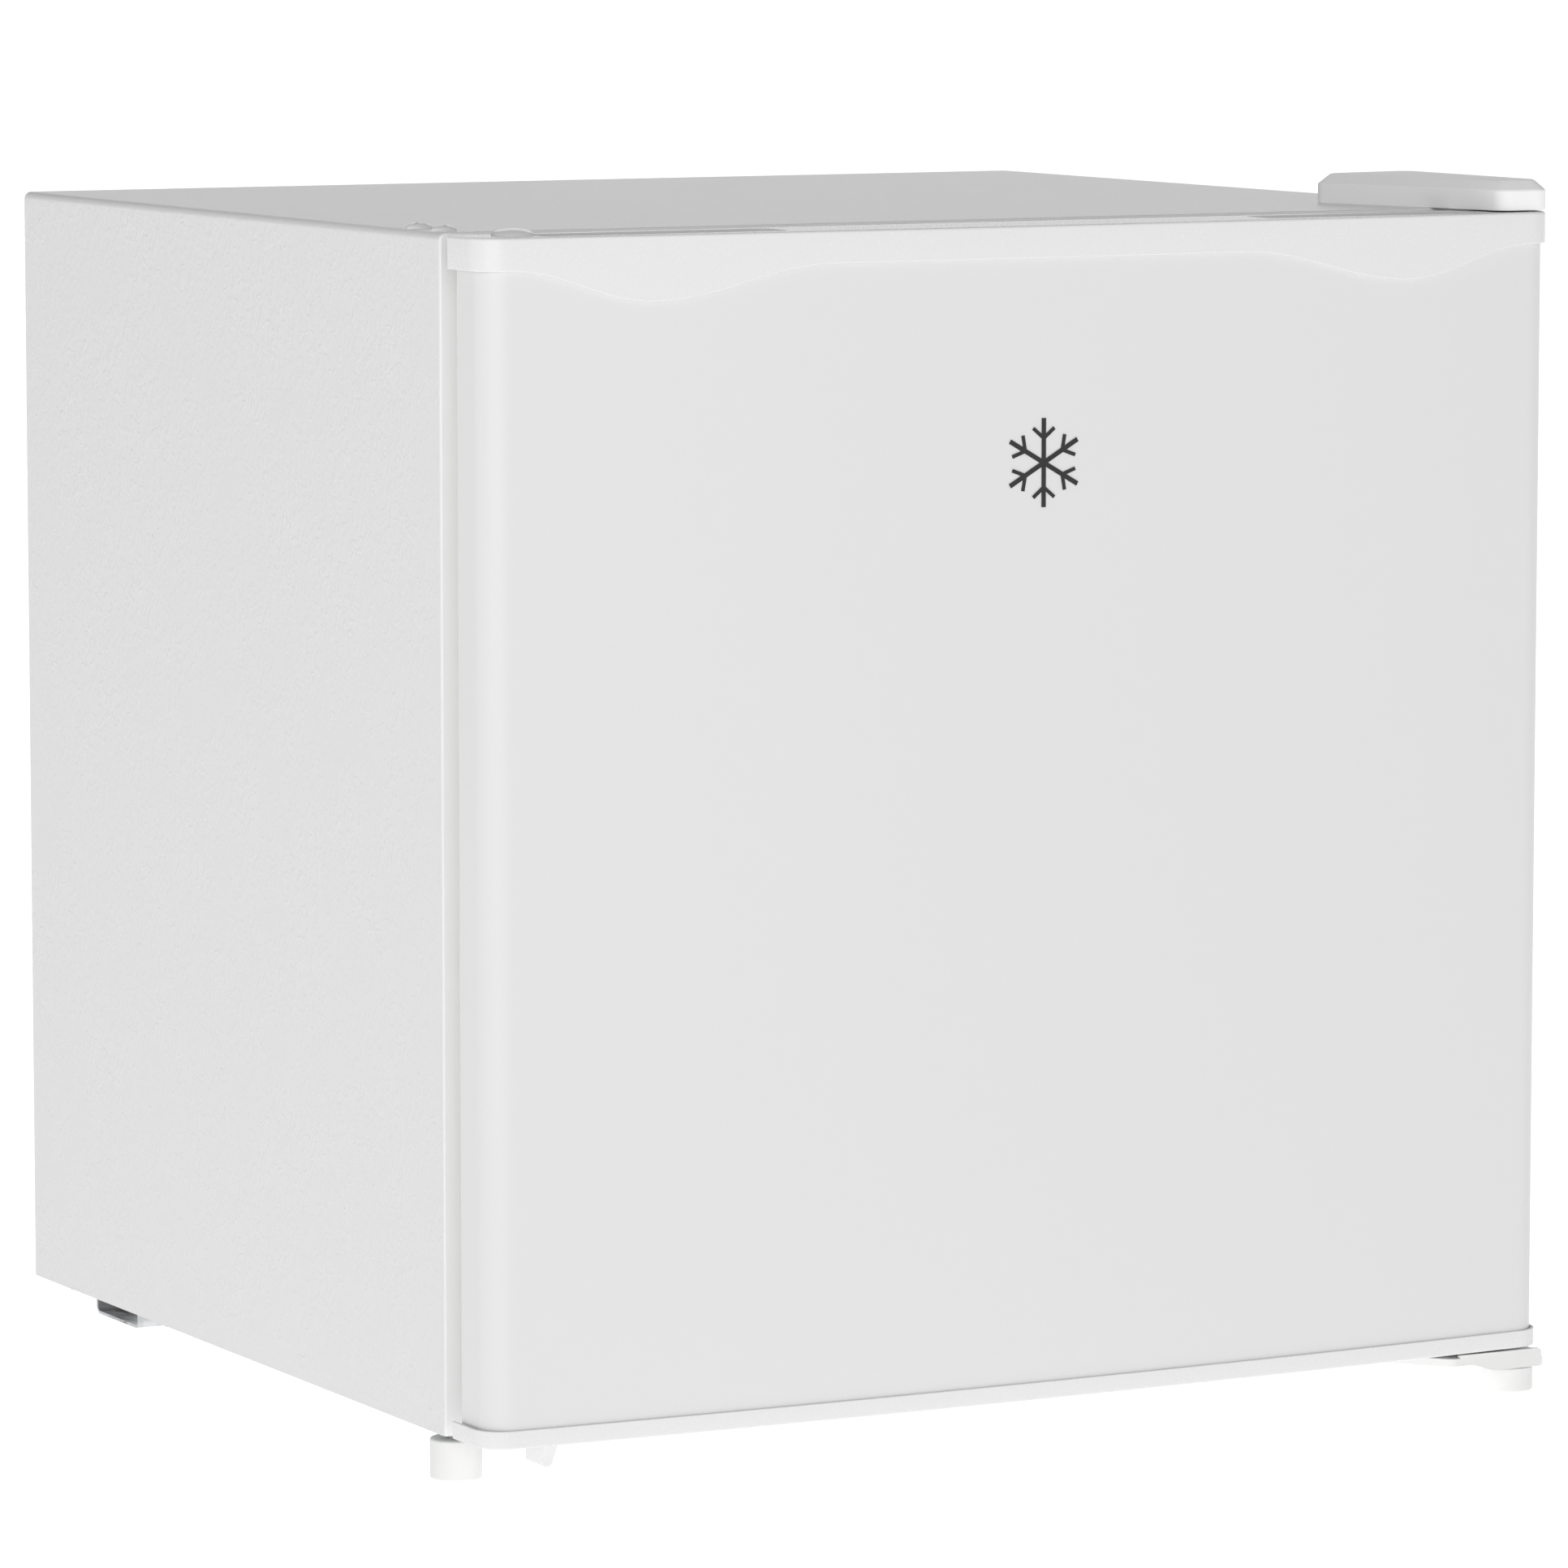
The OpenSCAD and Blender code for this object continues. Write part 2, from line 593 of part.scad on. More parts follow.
// Cord inlet of the starter box
module cord_gland() color("black") difference() {
  union() {
    rod_y(starter_x0 + 18, starter_y0 + 48, starter_y0 + 50, starter_z0 + 14, 6);
    rod_y(starter_x0 + 18, starter_y0 + 50, starter_y0 + 52, starter_z0 + 14, 8);
  }
  rod_y(starter_x0 + 18, starter_y0 + 47, starter_y0 + 53, starter_z0 + 14, 3.6);
}

drier_x = comp_x - 218;
drier_z = 60;

module discharge_tube() color("peru") pipe([
  [comp_x - comp_r + 1.5, comp_y - 10, 110], [comp_x - 80, comp_y - 10, 110],
  [comp_x - 80, comp_y - 10, 150], [comp_x - 160, comp_y - 10, 150],
  [comp_x - 160, comp_y - 10, drier_z], [drier_x + 8, comp_y - 10, drier_z]], 2.4);

module suction_tube() color("peru") pipe([
  [comp_x - comp_r + 1.5, comp_y + 14, 80], [comp_x - 100, comp_y + 14, 80],
  [comp_x - 100, comp_y + 14, bay_z - 17], [comp_x - 120, comp_y + 14, bay_z - 17],
  [comp_x - 120, comp_y + 14, bay_z]], 3);

// Copper drier in the liquid line
module filter_drier() color("peru") translate([drier_x, comp_y - 10, drier_z])
  rotate_extrude() polygon([[0, -12], [2.4, -12], [2.4, -8], [8, 0], [8, 62], [2.4, 72], [2.4, 90], [0, 90]]);

module evaporation_tray() color("lightgray") difference() {
  box(comp_x - 46, comp_x + 46, comp_y - 44, comp_y + 44, comp_z1, comp_z1 + 20);
  box(comp_x - 44, comp_x + 44, comp_y - 42, comp_y + 42, comp_z1 + 2, comp_z1 + 21);
}

module drain_tube() color("white") difference() {
  post(drain_x, drain_y, bay_z - 12, hump_z, drain_r);
  post(drain_x, drain_y, bay_z - 13, hump_z + 1, drain_r - 1);
}

// ---- Freezer box, tray and thermostat ----

// Aluminium evaporator folded into a box that is open at the front
module freezer_box() color("gainsboro") difference() {
  box(frz_x0, frz_x1, frz_y0, frz_y1, frz_z0, frz_z1);
  box(frz_x0 + frz_t, frz_x1 - frz_t, frz_y0 - 1, frz_y1 - frz_t, frz_z0 + frz_t, frz_z1 - frz_t);
}

module freezer_mounts() color("white")
  for (x = [frz_x0 + 20, frz_x1 - 20]) for (y = [frz_y0 + 25, frz_y1 - 25])
    post(x, y, frz_z1, room_z1, 6);

// Plastic frame round the mouth of the freezer box, with the flap's hinge ears
module freezer_frame() color("white") difference() {
  union() {
    difference() {
      box(frz_x0, frz_x1, frz_y0 - frame_d, frz_y0, frz_z0, frz_z1);
      box(frz_x0 + 7, frz_x1 - 7, frz_y0 - frame_d - 1, frz_y0 + 1, frz_z0 + 7, frz_z1 - 14);
    }
    for (x = [frz_x0, frz_x1 - 5])
      box(x, x + 5, flap_axis_y - 4, frz_y0 - 1, flap_axis_z - 5, flap_axis_z + 5);
  }
  rod_x(frz_x0 - 1, frz_x1 + 1, flap_axis_y, flap_axis_z, flap_pin_r + run);
}

// Flap that closes the freezer box, with its barrel, pins and finger lip
module freezer_flap() color("white") {
  box(frz_x0 + 6, frz_x1 - 6, flap_axis_y - 1.5, flap_axis_y + 1.5, frz_z0 + 2, flap_axis_z);
  rod_x(frz_x0 + 6, frz_x1 - 6, flap_axis_y, flap_axis_z, flap_barrel_r);
  rod_x(frz_x0 + 1, frz_x1 - 1, flap_axis_y, flap_axis_z, flap_pin_r);
  flap_mid = (frz_x0 + frz_x1) / 2;
  box(flap_mid - 30, flap_mid + 30, flap_axis_y - 9, flap_axis_y, frz_z0 + 2, frz_z0 + 4);
  box(flap_mid - 30, flap_mid + 30, flap_axis_y - 9, flap_axis_y - 7, frz_z0 + 2, frz_z0 + 12);
}

rail_t = 1.5;

module tray_rails() color("white") for (s = [0, 1]) translate([s * (frz_x0 + frz_x1), 0, 0])
  mirror([s, 0, 0]) {
    box(frz_x0, frz_x0 + rail_t, frz_y0 + 4, frz_y1 - 4, tray_z1 - 4.3, frz_z0);
    box(frz_x0, frz_x0 + 8, frz_y0 + 4, frz_y1 - 4, tray_z1 - 4.3, tray_z1 - 2.3);
  }

// Shallow tray under the freezer box that catches the melt water
module drip_tray() color("lightblue", 0.6) difference() {
  union() {
    box(frz_x0 + 10, frz_x1 - 10, frz_y0 - 6, frz_y1 - 6, tray_z0, tray_z1);
    box(frz_x0 + 3, frz_x1 - 3, frz_y0 - 6, frz_y1 - 6, tray_z1 - 2, tray_z1);
  }
  box(frz_x0 + 12, frz_x1 - 12, frz_y0 - 4, frz_y1 - 8, tray_z0 + 2, tray_z1 + 1);
}

therm_t = 2;

module thermostat_housing() color("white") difference() {
  along_z(therm_z0, therm_z1) polygon(rounded(
    [[therm_x0, therm_y0], [therm_x1, therm_y0], [therm_x1, therm_y1], [therm_x0, therm_y1]],
    [8, 3, 3, 3]));
  box(therm_x0 + therm_t, therm_x1 - therm_t, therm_y0 + therm_t, therm_y1 - therm_t,
    therm_z0 + therm_t, therm_z1 - therm_t);
  rod_y(knob_x, therm_y0 - 1, therm_y0 + 5, knob_z, shaft_r + 1);
}

module thermostat() color("silver") difference() {
  box(knob_x - 16, knob_x + 16, therm_y0 + therm_t, therm_y0 + 34, knob_z - 16, knob_z + 16);
  rod_y(knob_x, therm_y0, therm_y0 + 24, knob_z, shaft_r + run);
}

// Sensing bulb clipped under the side of the freezer box
module sensor_bulb() color("peru")
  rod_y(frz_x1 + 4, frz_y0 + 20, frz_y0 + 110, frz_z0 + 30, 3);

module thermostat_knob() color("white") {
  rod_y(knob_x, therm_y0 - 4, therm_y0 + 20, knob_z, shaft_r);
  rod_y(knob_x, therm_y0 - 15, therm_y0 - 0.5, knob_z, knob_r);
  box(knob_x - 2, knob_x + 2, therm_y0 - 19, therm_y0 - 14, knob_z - knob_r + 2, knob_z + knob_r - 2);
}

// Wire shelf: a rod frame, a middle stay and the wires that carry the food
module wire_shelf() color("white") {
  shelf_half = room_half - 5;
  for (x = [-shelf_half, shelf_half]) rod_y(x, shelf_y0, shelf_y1, shelf_z, rod_r);
  for (y = [shelf_y0, shelf_y1]) rod_x(-shelf_half, shelf_half, y, shelf_z, rod_r);
  for (x = [-shelf_half, shelf_half]) for (y = [shelf_y0, shelf_y1])
    translate([x, y, shelf_z]) sphere(r = rod_r);
  rod_x(-shelf_half, shelf_half, (shelf_y0 + shelf_y1) / 2, shelf_z, rod_r - 0.3);
  wires = 19;
  for (i = [1:wires - 1])
    rod_y(-shelf_half + 2 * shelf_half * i / wires, shelf_y0 - 1.5, shelf_y1 + 1.5, shelf_z + 2.2, 1.3);
}

// ---- Door ----

// Painted steel skin: bowed front, rounded corners, sides and rear return flanges
module door_skin() color("whitesmoke") difference() {
  door_prism(skin_half, cap_end - 1, door_r - 1, skin_gap, skin_z0, skin_z1);
  door_prism(skin_half - sheet, cap_end - 1 - sheet, door_r - 1 - sheet, skin_gap + sheet, 0, z_top + 9);
  box(-skin_half + 13, skin_half - 13, y_flange - skin_gap - 3, y_flange, 0, z_top + 9);
  hinge_notches();
}

// Room for the hinge bosses in the rear corners of the skin and liner
module hinge_notches() for (s = [-1, 1]) translate([s * hinge_x, 0, 0]) {
  box(-boss_r - 1, boss_r + 1, hinge_y, y_flange, skin_z1 - top_boss_h, z_top);
  box(-boss_r - 1, boss_r + 1, hinge_y, y_flange, 0, skin_z0 + low_boss_h);
}

module scoop(s, g, z1) {
  x0 = s > 0 ? scoop_x0 : -scoop_x1;
  box(x0 - g, x0 + scoop_x1 - scoop_x0 + g, y_flange - scoop_y1 - g, y_flange - scoop_y0 + g,
    door_z1 - scoop_depth - g, z1);
}

// Moulded top cap: wavy front edge, two finger scoops and the hinge boss
module top_cap() color("white") difference() {
  union() {
    difference() {
      intersection() {
        door_prism(cap_half, cap_end, door_r, cap_gap, door_z1 - cap_h - cap_dip - 1, door_z1);
        along_y(y_flange - door_front - 1, y_flange) polygon(concat(
          [for (i = [0:94]) let (x = -cap_half - 1 + i * (2 * cap_half + 2) / 94) [x, door_z1 - cap_reach(x)]],
          [[cap_half + 1, z_top + 1], [-cap_half - 1, z_top + 1]]));
      }
      door_prism(skin_half, cap_end - 1, door_r - 1, cap_gap + 2, 0, skin_z1);
      box(-cap_half - 1, cap_half + 1, y_flange - cap_gap - 3, y_flange, 0, door_z1 - cap_h);
    }
    for (s = [-1, 1]) scoop(s, plate_t - 0.5, door_z1 - eps);
    post(hinge_x, hinge_y, door_z1 - top_boss_h - 1, door_z1 - eps, boss_r);
  }
  for (s = [-1, 1]) scoop(s, 0, z_top + 1);
  post(hinge_x, hinge_y, door_z1 - top_boss_h, z_top + 1, bush_r);
  post(plug_x, plug_y, skin_z1 - 1, z_top + 1, plug_stem_r);
}

// Moulded bottom cap with the lower hinge boss
module bottom_cap() color("white") difference() {
  union() {
    difference() {
      door_prism(cap_half, cap_end, door_r, cap_gap, door_z0, door_z0 + base_cap_h);
      door_prism(skin_half, cap_end - 1, door_r - 1, cap_gap + 2, skin_z0, z_top);
    }
    for (s = [-1, 1]) translate([s * hinge_x, 0, 0])
      box(-boss_r - 2, boss_r + 2, y_flange - cap_gap - 2, y_flange - cap_gap,
        door_z0 + 2, skin_z0 + low_boss_h);
    post(hinge_x, hinge_y, door_z0, door_z0 + low_boss_h + 1, boss_r);
  }
  post(hinge_x, hinge_y, door_z0 - 1, door_z0 + low_boss_h, bush_r);
}

// Nylon bushes pressed into the caps; the lower one has a thrust collar
module hinge_bushes() color("ivory") {
  difference() {
    post(hinge_x, hinge_y, door_z1 - top_boss_h, door_z1, bush_r);
    post(hinge_x, hinge_y, door_z1 - top_boss_h - 1, z_top, pin_r + run);
  }
  difference() {
    union() {
      post(hinge_x, hinge_y, door_z0, door_z0 + low_boss_h, bush_r);
      post(hinge_x, hinge_y, low_plate_z + hinge_t + 0.4, door_z0, bush_r + 1.5);
    }
    post(hinge_x, hinge_y, 0, door_z0 + low_boss_h + 1, pin_r + run);
  }
}

module dike(g, y0) for (s = [-1, 1]) translate([s * (dike_x0 + dike_x1) / 2, 0, 0])
  box(-(dike_x1 - dike_x0) / 2 + g, (dike_x1 - dike_x0) / 2 - g, y_flange + y0,
    y_flange + dike_out - g, dike_z0 + g, dike_z1 - g);

// Vacuum-formed inner liner of the door, with two hollow uprights that carry the racks
module door_liner() color("white") {
  difference() {
    union() {
      box(-skin_half + 2, skin_half - 2, y_flange - skin_gap, y_flange - liner_back, skin_z0, skin_z1);
      dike(0, -liner_back - eps);
    }
    dike(liner_t, -skin_gap - 1);
    hinge_notches();
  }
  for (s = [-1, 1]) for (z = [rack_hi_z, rack_lo_z])
    translate([s * (dike_x0 - lug_w / 2), 0, 0])
      box(-lug_w / 2, lug_w / 2 + eps, y_flange - 2, y_flange + 10, z + lug_z - 6, z + lug_z);
}

module door_foam() color("wheat") difference() {
  union() {
    door_prism(skin_half - sheet, cap_end - 1 - sheet, door_r - 1 - sheet, skin_gap + sheet, skin_z0, skin_z1);
    box(-skin_half + 13, skin_half - 13, y_flange - skin_gap - sheet - eps, y_flange - skin_gap,
      skin_z0, skin_z1);
    dike(liner_t, -skin_gap - 1);
  }
  for (s = [-1, 1]) scoop(s, plate_t - 0.5, z_top);
  for (s = [-1, 1]) translate([s * hinge_x, 0, 0]) {
    post(0, hinge_y, door_z1 - top_boss_h - 2, z_top, boss_r + 1);
    post(0, hinge_y, 0, skin_z0 + low_boss_h + 1, boss_r + 1);
  }
  post(plug_x, plug_y, skin_z1 - 6, z_top, plug_stem_r + 0.5);
}

gasket_rear = 0.3;

// Gasket frame with a channel for the magnet, moulded to the liner all round
module gasket() color("white") difference() {
  box(-gasket_x, gasket_x, y_flange - liner_back, y_flange - gasket_rear, gasket_z0, gasket_z1);
  box(-gasket_x + gasket_w, gasket_x - gasket_w, y_flange - 30, y_flange + 1,
    gasket_z0 + gasket_w, gasket_z1 - gasket_w);
  magnet_frame(y_flange - 4.3, y_flange - 1.3);
}

module magnet_frame(y0, y1) difference() {
  box(-gasket_x + 3, gasket_x - 3, y0, y1, gasket_z0 + 3, gasket_z1 - 3);
  box(-gasket_x + gasket_w - 3, gasket_x - gasket_w + 3, y0 - 1, y1 + 1,
    gasket_z0 + gasket_w - 3, gasket_z1 - gasket_w + 3);
}

module magnet_strips() color("dimgray") magnet_frame(y_flange - 4.3, y_flange - 1.3);

// Domed plug in the spare hinge socket, top left
module socket_plug() color("white") translate([plug_x, plug_y, 0]) {
  post(0, 0, skin_z1 - 4, door_z1, plug_stem_r);
  translate([0, 0, door_z1]) rotate_extrude() polygon(concat(
    [[0, 0]], [for (i = [0:8]) let (a = 90 * i / 8) [plug_r * cos(a), 2.8 * sin(a)]]));
}

stop_x = -(cap_half - 26);

// Stop block under the free end of the door
module door_stop() color("white")
  along_y(y_flange - 33, y_flange - 18) polygon([
    [stop_x, door_z0], [stop_x, z_bot - 8.2], [stop_x + 3.5, z_bot - 8.2], [stop_x + 6.5, door_z0]]);

emblem_z = z_top - 91;
emblem_r = 17;

// Small generic snowflake badge: six plain arms with short side twigs
module emblem() color("black") translate([0, y_flange - door_front + 1, emblem_z])
  rotate([90, 0, 0]) linear_extrude(0.3) for (i = [0:5]) rotate([0, 0, 60 * i]) {
    translate([-0.9, 0]) square([1.8, emblem_r]);
    for (s = [-1, 1]) translate([0, emblem_r * 0.55]) rotate([0, 0, s * 50])
      translate([-0.7, 0]) square([1.4, 6]);
  }

// ---- Door racks ----

module rack(z, h, y1) {
  difference() {
    box(-rack_half, rack_half, rack_y0, y1, z, z + h);
    box(-rack_half + rack_t, rack_half - rack_t, rack_y0 + rack_t, y1 - rack_t, z + rack_t, z + h + 1);
  }
  for (s = [-1, 1]) translate([s * (rack_half + 2.6), 0, 0])
    box(-2.6 - eps, 2.6, y_flange - 3, y_flange + 11, z + lug_z + touch, z + lug_z + 7);
}

module upper_rack() color("aliceblue") rack(rack_hi_z, rack_hi_h, rack_hi_y1);

module lower_rack() color("aliceblue") rack(rack_lo_z, rack_lo_h, rack_lo_y1);

// Wire guard that keeps tall bottles in the lower rack
module bottle_rail() color("silver") pipe([
  [-rack_half + 1.9, rack_lo_y1 - 4, rack_lo_z + rack_lo_h],
  [-rack_half + 1.9, rack_lo_y1 - 4, rack_lo_z + rack_lo_h + 18],
  [rack_half - 1.9, rack_lo_y1 - 4, rack_lo_z + rack_lo_h + 18],
  [rack_half - 1.9, rack_lo_y1 - 4, rack_lo_z + rack_lo_h]], 1.8);

outer_shell();
back_panel();
bottom_panel();
front_rail();
bay_panel();
inner_liner();
insulation_foam();
condenser_coil();
screw_caps();
top_hinge();
top_hinge_screws();
hinge_cover();
lower_hinge();
lower_hinge_screws();
foot_insert();
base_plate();
base_plate_screws();
compressor();
compressor_grommets();
compressor_bolts();
starter_box();
cord_gland();
discharge_tube();
suction_tube();
filter_drier();
evaporation_tray();
drain_tube();
freezer_box();
freezer_mounts();
freezer_frame();
tray_rails();
thermostat_housing();
thermostat();
sensor_bulb();
door_skin();
top_cap();
bottom_cap();
door_liner();
door_foam();
gasket();
magnet_strips();
hinge_bushes();
socket_plug();
door_stop();
emblem();
upper_rack();
lower_rack();
bottle_rail();
freezer_flap();
drip_tray();
wire_shelf();
thermostat_knob();
left_foot_stud();
left_foot_pad();
right_foot_stud();
right_foot_pad();
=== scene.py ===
import math
import bmesh
import bpy
from mathutils import Euler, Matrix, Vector


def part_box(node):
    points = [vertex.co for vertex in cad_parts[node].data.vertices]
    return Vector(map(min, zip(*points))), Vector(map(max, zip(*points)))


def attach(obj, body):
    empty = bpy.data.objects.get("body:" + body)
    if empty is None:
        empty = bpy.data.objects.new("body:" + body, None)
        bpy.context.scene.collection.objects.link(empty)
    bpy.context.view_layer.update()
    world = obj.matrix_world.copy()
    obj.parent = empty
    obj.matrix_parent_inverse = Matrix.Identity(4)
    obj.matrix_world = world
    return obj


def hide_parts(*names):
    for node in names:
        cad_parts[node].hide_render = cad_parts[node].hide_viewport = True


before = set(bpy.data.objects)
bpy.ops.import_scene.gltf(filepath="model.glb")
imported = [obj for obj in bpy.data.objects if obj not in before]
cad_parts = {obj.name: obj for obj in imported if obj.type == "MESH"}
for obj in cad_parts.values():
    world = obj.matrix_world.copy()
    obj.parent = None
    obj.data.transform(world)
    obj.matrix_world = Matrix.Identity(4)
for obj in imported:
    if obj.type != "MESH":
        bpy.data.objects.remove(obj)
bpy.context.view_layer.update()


# ---- Camera ----
# Eye height of somebody standing back from the fridge, off its left front corner, with a long lens.
stand_point = (-1.5531, -2.9438, 0.6188)
look_down = math.radians(6.572)
look_right = math.radians(27.884)
lens_mm = 189.23


def put(name, data):
    """An object in the scene."""
    thing = bpy.data.objects.new(name, data)
    bpy.context.scene.collection.objects.link(thing)
    return thing


camera = put("camera", bpy.data.cameras.new("camera"))
camera.data.lens = lens_mm
camera.data.sensor_width = 36
camera.data.clip_end = 60
camera.location = stand_point
camera.rotation_euler = Euler((math.pi / 2 - look_down, 0, -look_right))
bpy.context.scene.camera = camera
bpy.context.scene.view_settings.view_transform = "Standard"


# ---- Studio ----
# A white light table in a pale room: even light all round, weaker from overhead and darker low down behind.
def linear(hex_code):
    """An sRGB hex colour as linear values."""
    parts = [int(hex_code[i:i + 2], 16) / 255 for i in (0, 2, 4)]
    return tuple(p / 12.92 if p <= 0.04045 else ((p + 0.055) / 1.055) ** 2.4 for p in parts) + (1,)


def add(tree, kind, sockets=None, **settings):
    """A node with its settings; a socket's value is a number, a colour or the output it is linked from."""
    node = tree.nodes.new(kind)
    for key, value in settings.items():
        setattr(node, key, value)
    for name, value in (sockets or {}).items():
        if isinstance(value, bpy.types.NodeSocket):
            tree.links.new(value, node.inputs[name])
        else:
            node.inputs[name].default_value = value
    return node


room = bpy.data.worlds.new("room")
bpy.context.scene.world = room
room.use_nodes = True
sky = room.node_tree
sky.nodes.clear()
away = add(sky, "ShaderNodeSeparateXYZ", {0: add(sky, "ShaderNodeTexCoord").outputs["Generated"]})
light_low, light_overhead = 0.58, 0.30
dimmed_behind = 0.49
white_to_the_eye = 1.05
overhead = add(sky, "ShaderNodeMapRange", {
    "Value": away.outputs["Z"], "From Min": 0.1, "From Max": 0.9, "To Min": light_low,
    "To Max": light_overhead})
behind = add(sky, "ShaderNodeMapRange", {
    "Value": away.outputs["Y"], "From Min": 0.45, "From Max": 0.85, "To Min": 0, "To Max": 1},
    interpolation_type="SMOOTHSTEP")
low = add(sky, "ShaderNodeMapRange", {
    "Value": away.outputs["Z"], "From Min": 0.22, "From Max": 0.38, "To Min": 1, "To Max": 0},
    interpolation_type="SMOOTHSTEP")
flag = add(sky, "ShaderNodeMath", {0: behind.outputs[0], 1: low.outputs[0]}, operation="MULTIPLY")
flagged = add(sky, "ShaderNodeMath", {0: flag.outputs[0], 1: -dimmed_behind, 2: overhead.outputs[0]},
              operation="MULTIPLY_ADD")
seen = add(sky, "ShaderNodeLightPath")
strength = add(sky, "ShaderNodeMix", {
    "Factor": seen.outputs["Is Camera Ray"], "A": flagged.outputs[0], "B": white_to_the_eye},
               data_type="FLOAT")
backdrop = add(sky, "ShaderNodeBackground", {"Color": linear("FFFFFF"), "Strength": strength.outputs[0]})
add(sky, "ShaderNodeOutputWorld", {"Surface": backdrop.outputs[0]})

floor_mesh = bpy.data.meshes.new("light_table")
floor_mesh.from_pydata([(-30, -30, 0), (30, -30, 0), (30, 30, 0), (-30, 30, 0)], [], [(0, 1, 2, 3)])
put("light_table", floor_mesh)
glow = bpy.data.materials.new("opal_light_table")
glow.use_nodes = True
table = glow.node_tree
opal = table.nodes["Principled BSDF"]
opal.inputs["Base Color"].default_value = linear("BEBEBE")
opal.inputs["Roughness"].default_value = 0.6
opal.inputs["Emission Color"].default_value = linear("FFFFFF")
table_light, table_white = 0.86, 0.9
looked_at = add(table, "ShaderNodeLightPath")
shine = add(table, "ShaderNodeMix", {
    "Factor": looked_at.outputs["Is Camera Ray"], "A": table_light, "B": table_white}, data_type="FLOAT")
table.links.new(shine.outputs["Result"], opal.inputs["Emission Strength"])
floor_mesh.materials.append(glow)

# Soft key from beside the camera, and a weaker fill for the back.
for name, place, aim, width, watts in (
        ("key_softbox", (-2.1, -2.6, 0.8), (0, 0, 0.25), 3.2, 34),
        ("rear_softbox", (1.6, 3.0, 1.6), (0, 0.2, 0.25), 1.8, 12)):
    softbox = bpy.data.lights.new(name, "AREA")
    softbox.size = width
    softbox.energy = watts
    lamp = put(name, softbox)
    lamp.location = place
    lamp.rotation_euler = (Vector(aim) - Vector(place)).to_track_quat("-Z", "Y").to_euler()


# ---- Steel wrap ----
# One strip of prepainted steel, folded over the cabinet, with a flange turned in round the door opening.
# The sheet is embossed with a fine wrinkled grain before it is folded.
mm = 0.001


def start_finish(name, colour, roughness, **shader):
    """A material's name, base colour and gloss; returns it with its tree, shader and object coordinates."""
    finish = bpy.data.materials.new(name)
    finish.use_nodes = True
    tree = finish.node_tree
    base = tree.nodes["Principled BSDF"]
    base.inputs["Base Color"].default_value = linear(colour)
    base.inputs["Roughness"].default_value = roughness
    for key, value in shader.items():
        base.inputs[key.replace("_", " ")].default_value = value
    return finish, tree, base, add(tree, "ShaderNodeTexCoord").outputs["Object"]


def raise_grain(tree, base, height, depth):
    """Bump from a 0 to 1 height, depth metres deep."""
    bump = add(tree, "ShaderNodeBump", {"Height": height, "Distance": depth, "Strength": 1})
    tree.links.new(bump.outputs[0], base.inputs["Normal"])


def vary(tree, base, socket, factor, low, high):
    """Drives a shader socket between two values, or between two colours, by a 0 to 1 factor."""
    if isinstance(low, str):
        mix = add(tree, "ShaderNodeMix", {"Factor": factor}, data_type="RGBA")
        mix.inputs["A"].default_value = linear(low)
        mix.inputs["B"].default_value = linear(high)
        tree.links.new(mix.outputs["Result"], base.inputs[socket])
    else:
        out = add(tree, "ShaderNodeMapRange", {"Value": factor, "To Min": low, "To Max": high})
        tree.links.new(out.outputs[0], base.inputs[socket])


def embossed_paint():
    """Prepainted steel with a stucco grain: satin white, fine wrinkles about 3 mm apart."""
    finish, tree, base, where = start_finish("stucco_prepainted_steel", "EAEAEA", 0.38)
    stretched = add(tree, "ShaderNodeMapping", {"Vector": where, "Scale": (1, 1, 0.62)})
    wrinkle = add(tree, "ShaderNodeTexNoise", {
        "Vector": stretched.outputs[0], "Scale": 1 / (3.2 * mm), "Detail": 2.5, "Roughness": 0.55,
        "Distortion": 1.1})
    patch = add(tree, "ShaderNodeTexNoise", {"Vector": where, "Scale": 1 / (28 * mm), "Detail": 1})
    crest = add(tree, "ShaderNodeMapRange", {
        "Value": wrinkle.outputs["Fac"], "From Min": 0.42, "From Max": 0.68}, interpolation_type="SMOOTHSTEP")
    height = add(tree, "ShaderNodeMath", {0: crest.outputs[0], 1: patch.outputs["Fac"]}, operation="MULTIPLY")
    raise_grain(tree, base, height.outputs[0], 0.16 * mm)
    vary(tree, base, "Roughness", wrinkle.outputs["Fac"], 0.34, 0.46)
    vary(tree, base, "Base Color", patch.outputs["Fac"], "E8E8E8", "EBEBEB")
    return finish


def flat_paint(name="smooth_prepainted_steel", colour="E8E8E8", gloss=0.36):
    """Prepainted sheet left smooth: glossier, with the very fine orange peel of rolled paint."""
    finish, tree, base, where = start_finish(name, colour, gloss)
    peel = add(tree, "ShaderNodeTexNoise", {"Vector": where, "Scale": 1 / (2.2 * mm), "Detail": 1})
    broad = add(tree, "ShaderNodeTexNoise", {"Vector": where, "Scale": 1 / (90 * mm), "Detail": 2})
    raise_grain(tree, base, peel.outputs["Fac"], 0.006 * mm)
    vary(tree, base, "Roughness", broad.outputs["Fac"], gloss - 0.04, gloss + 0.05)
    return finish


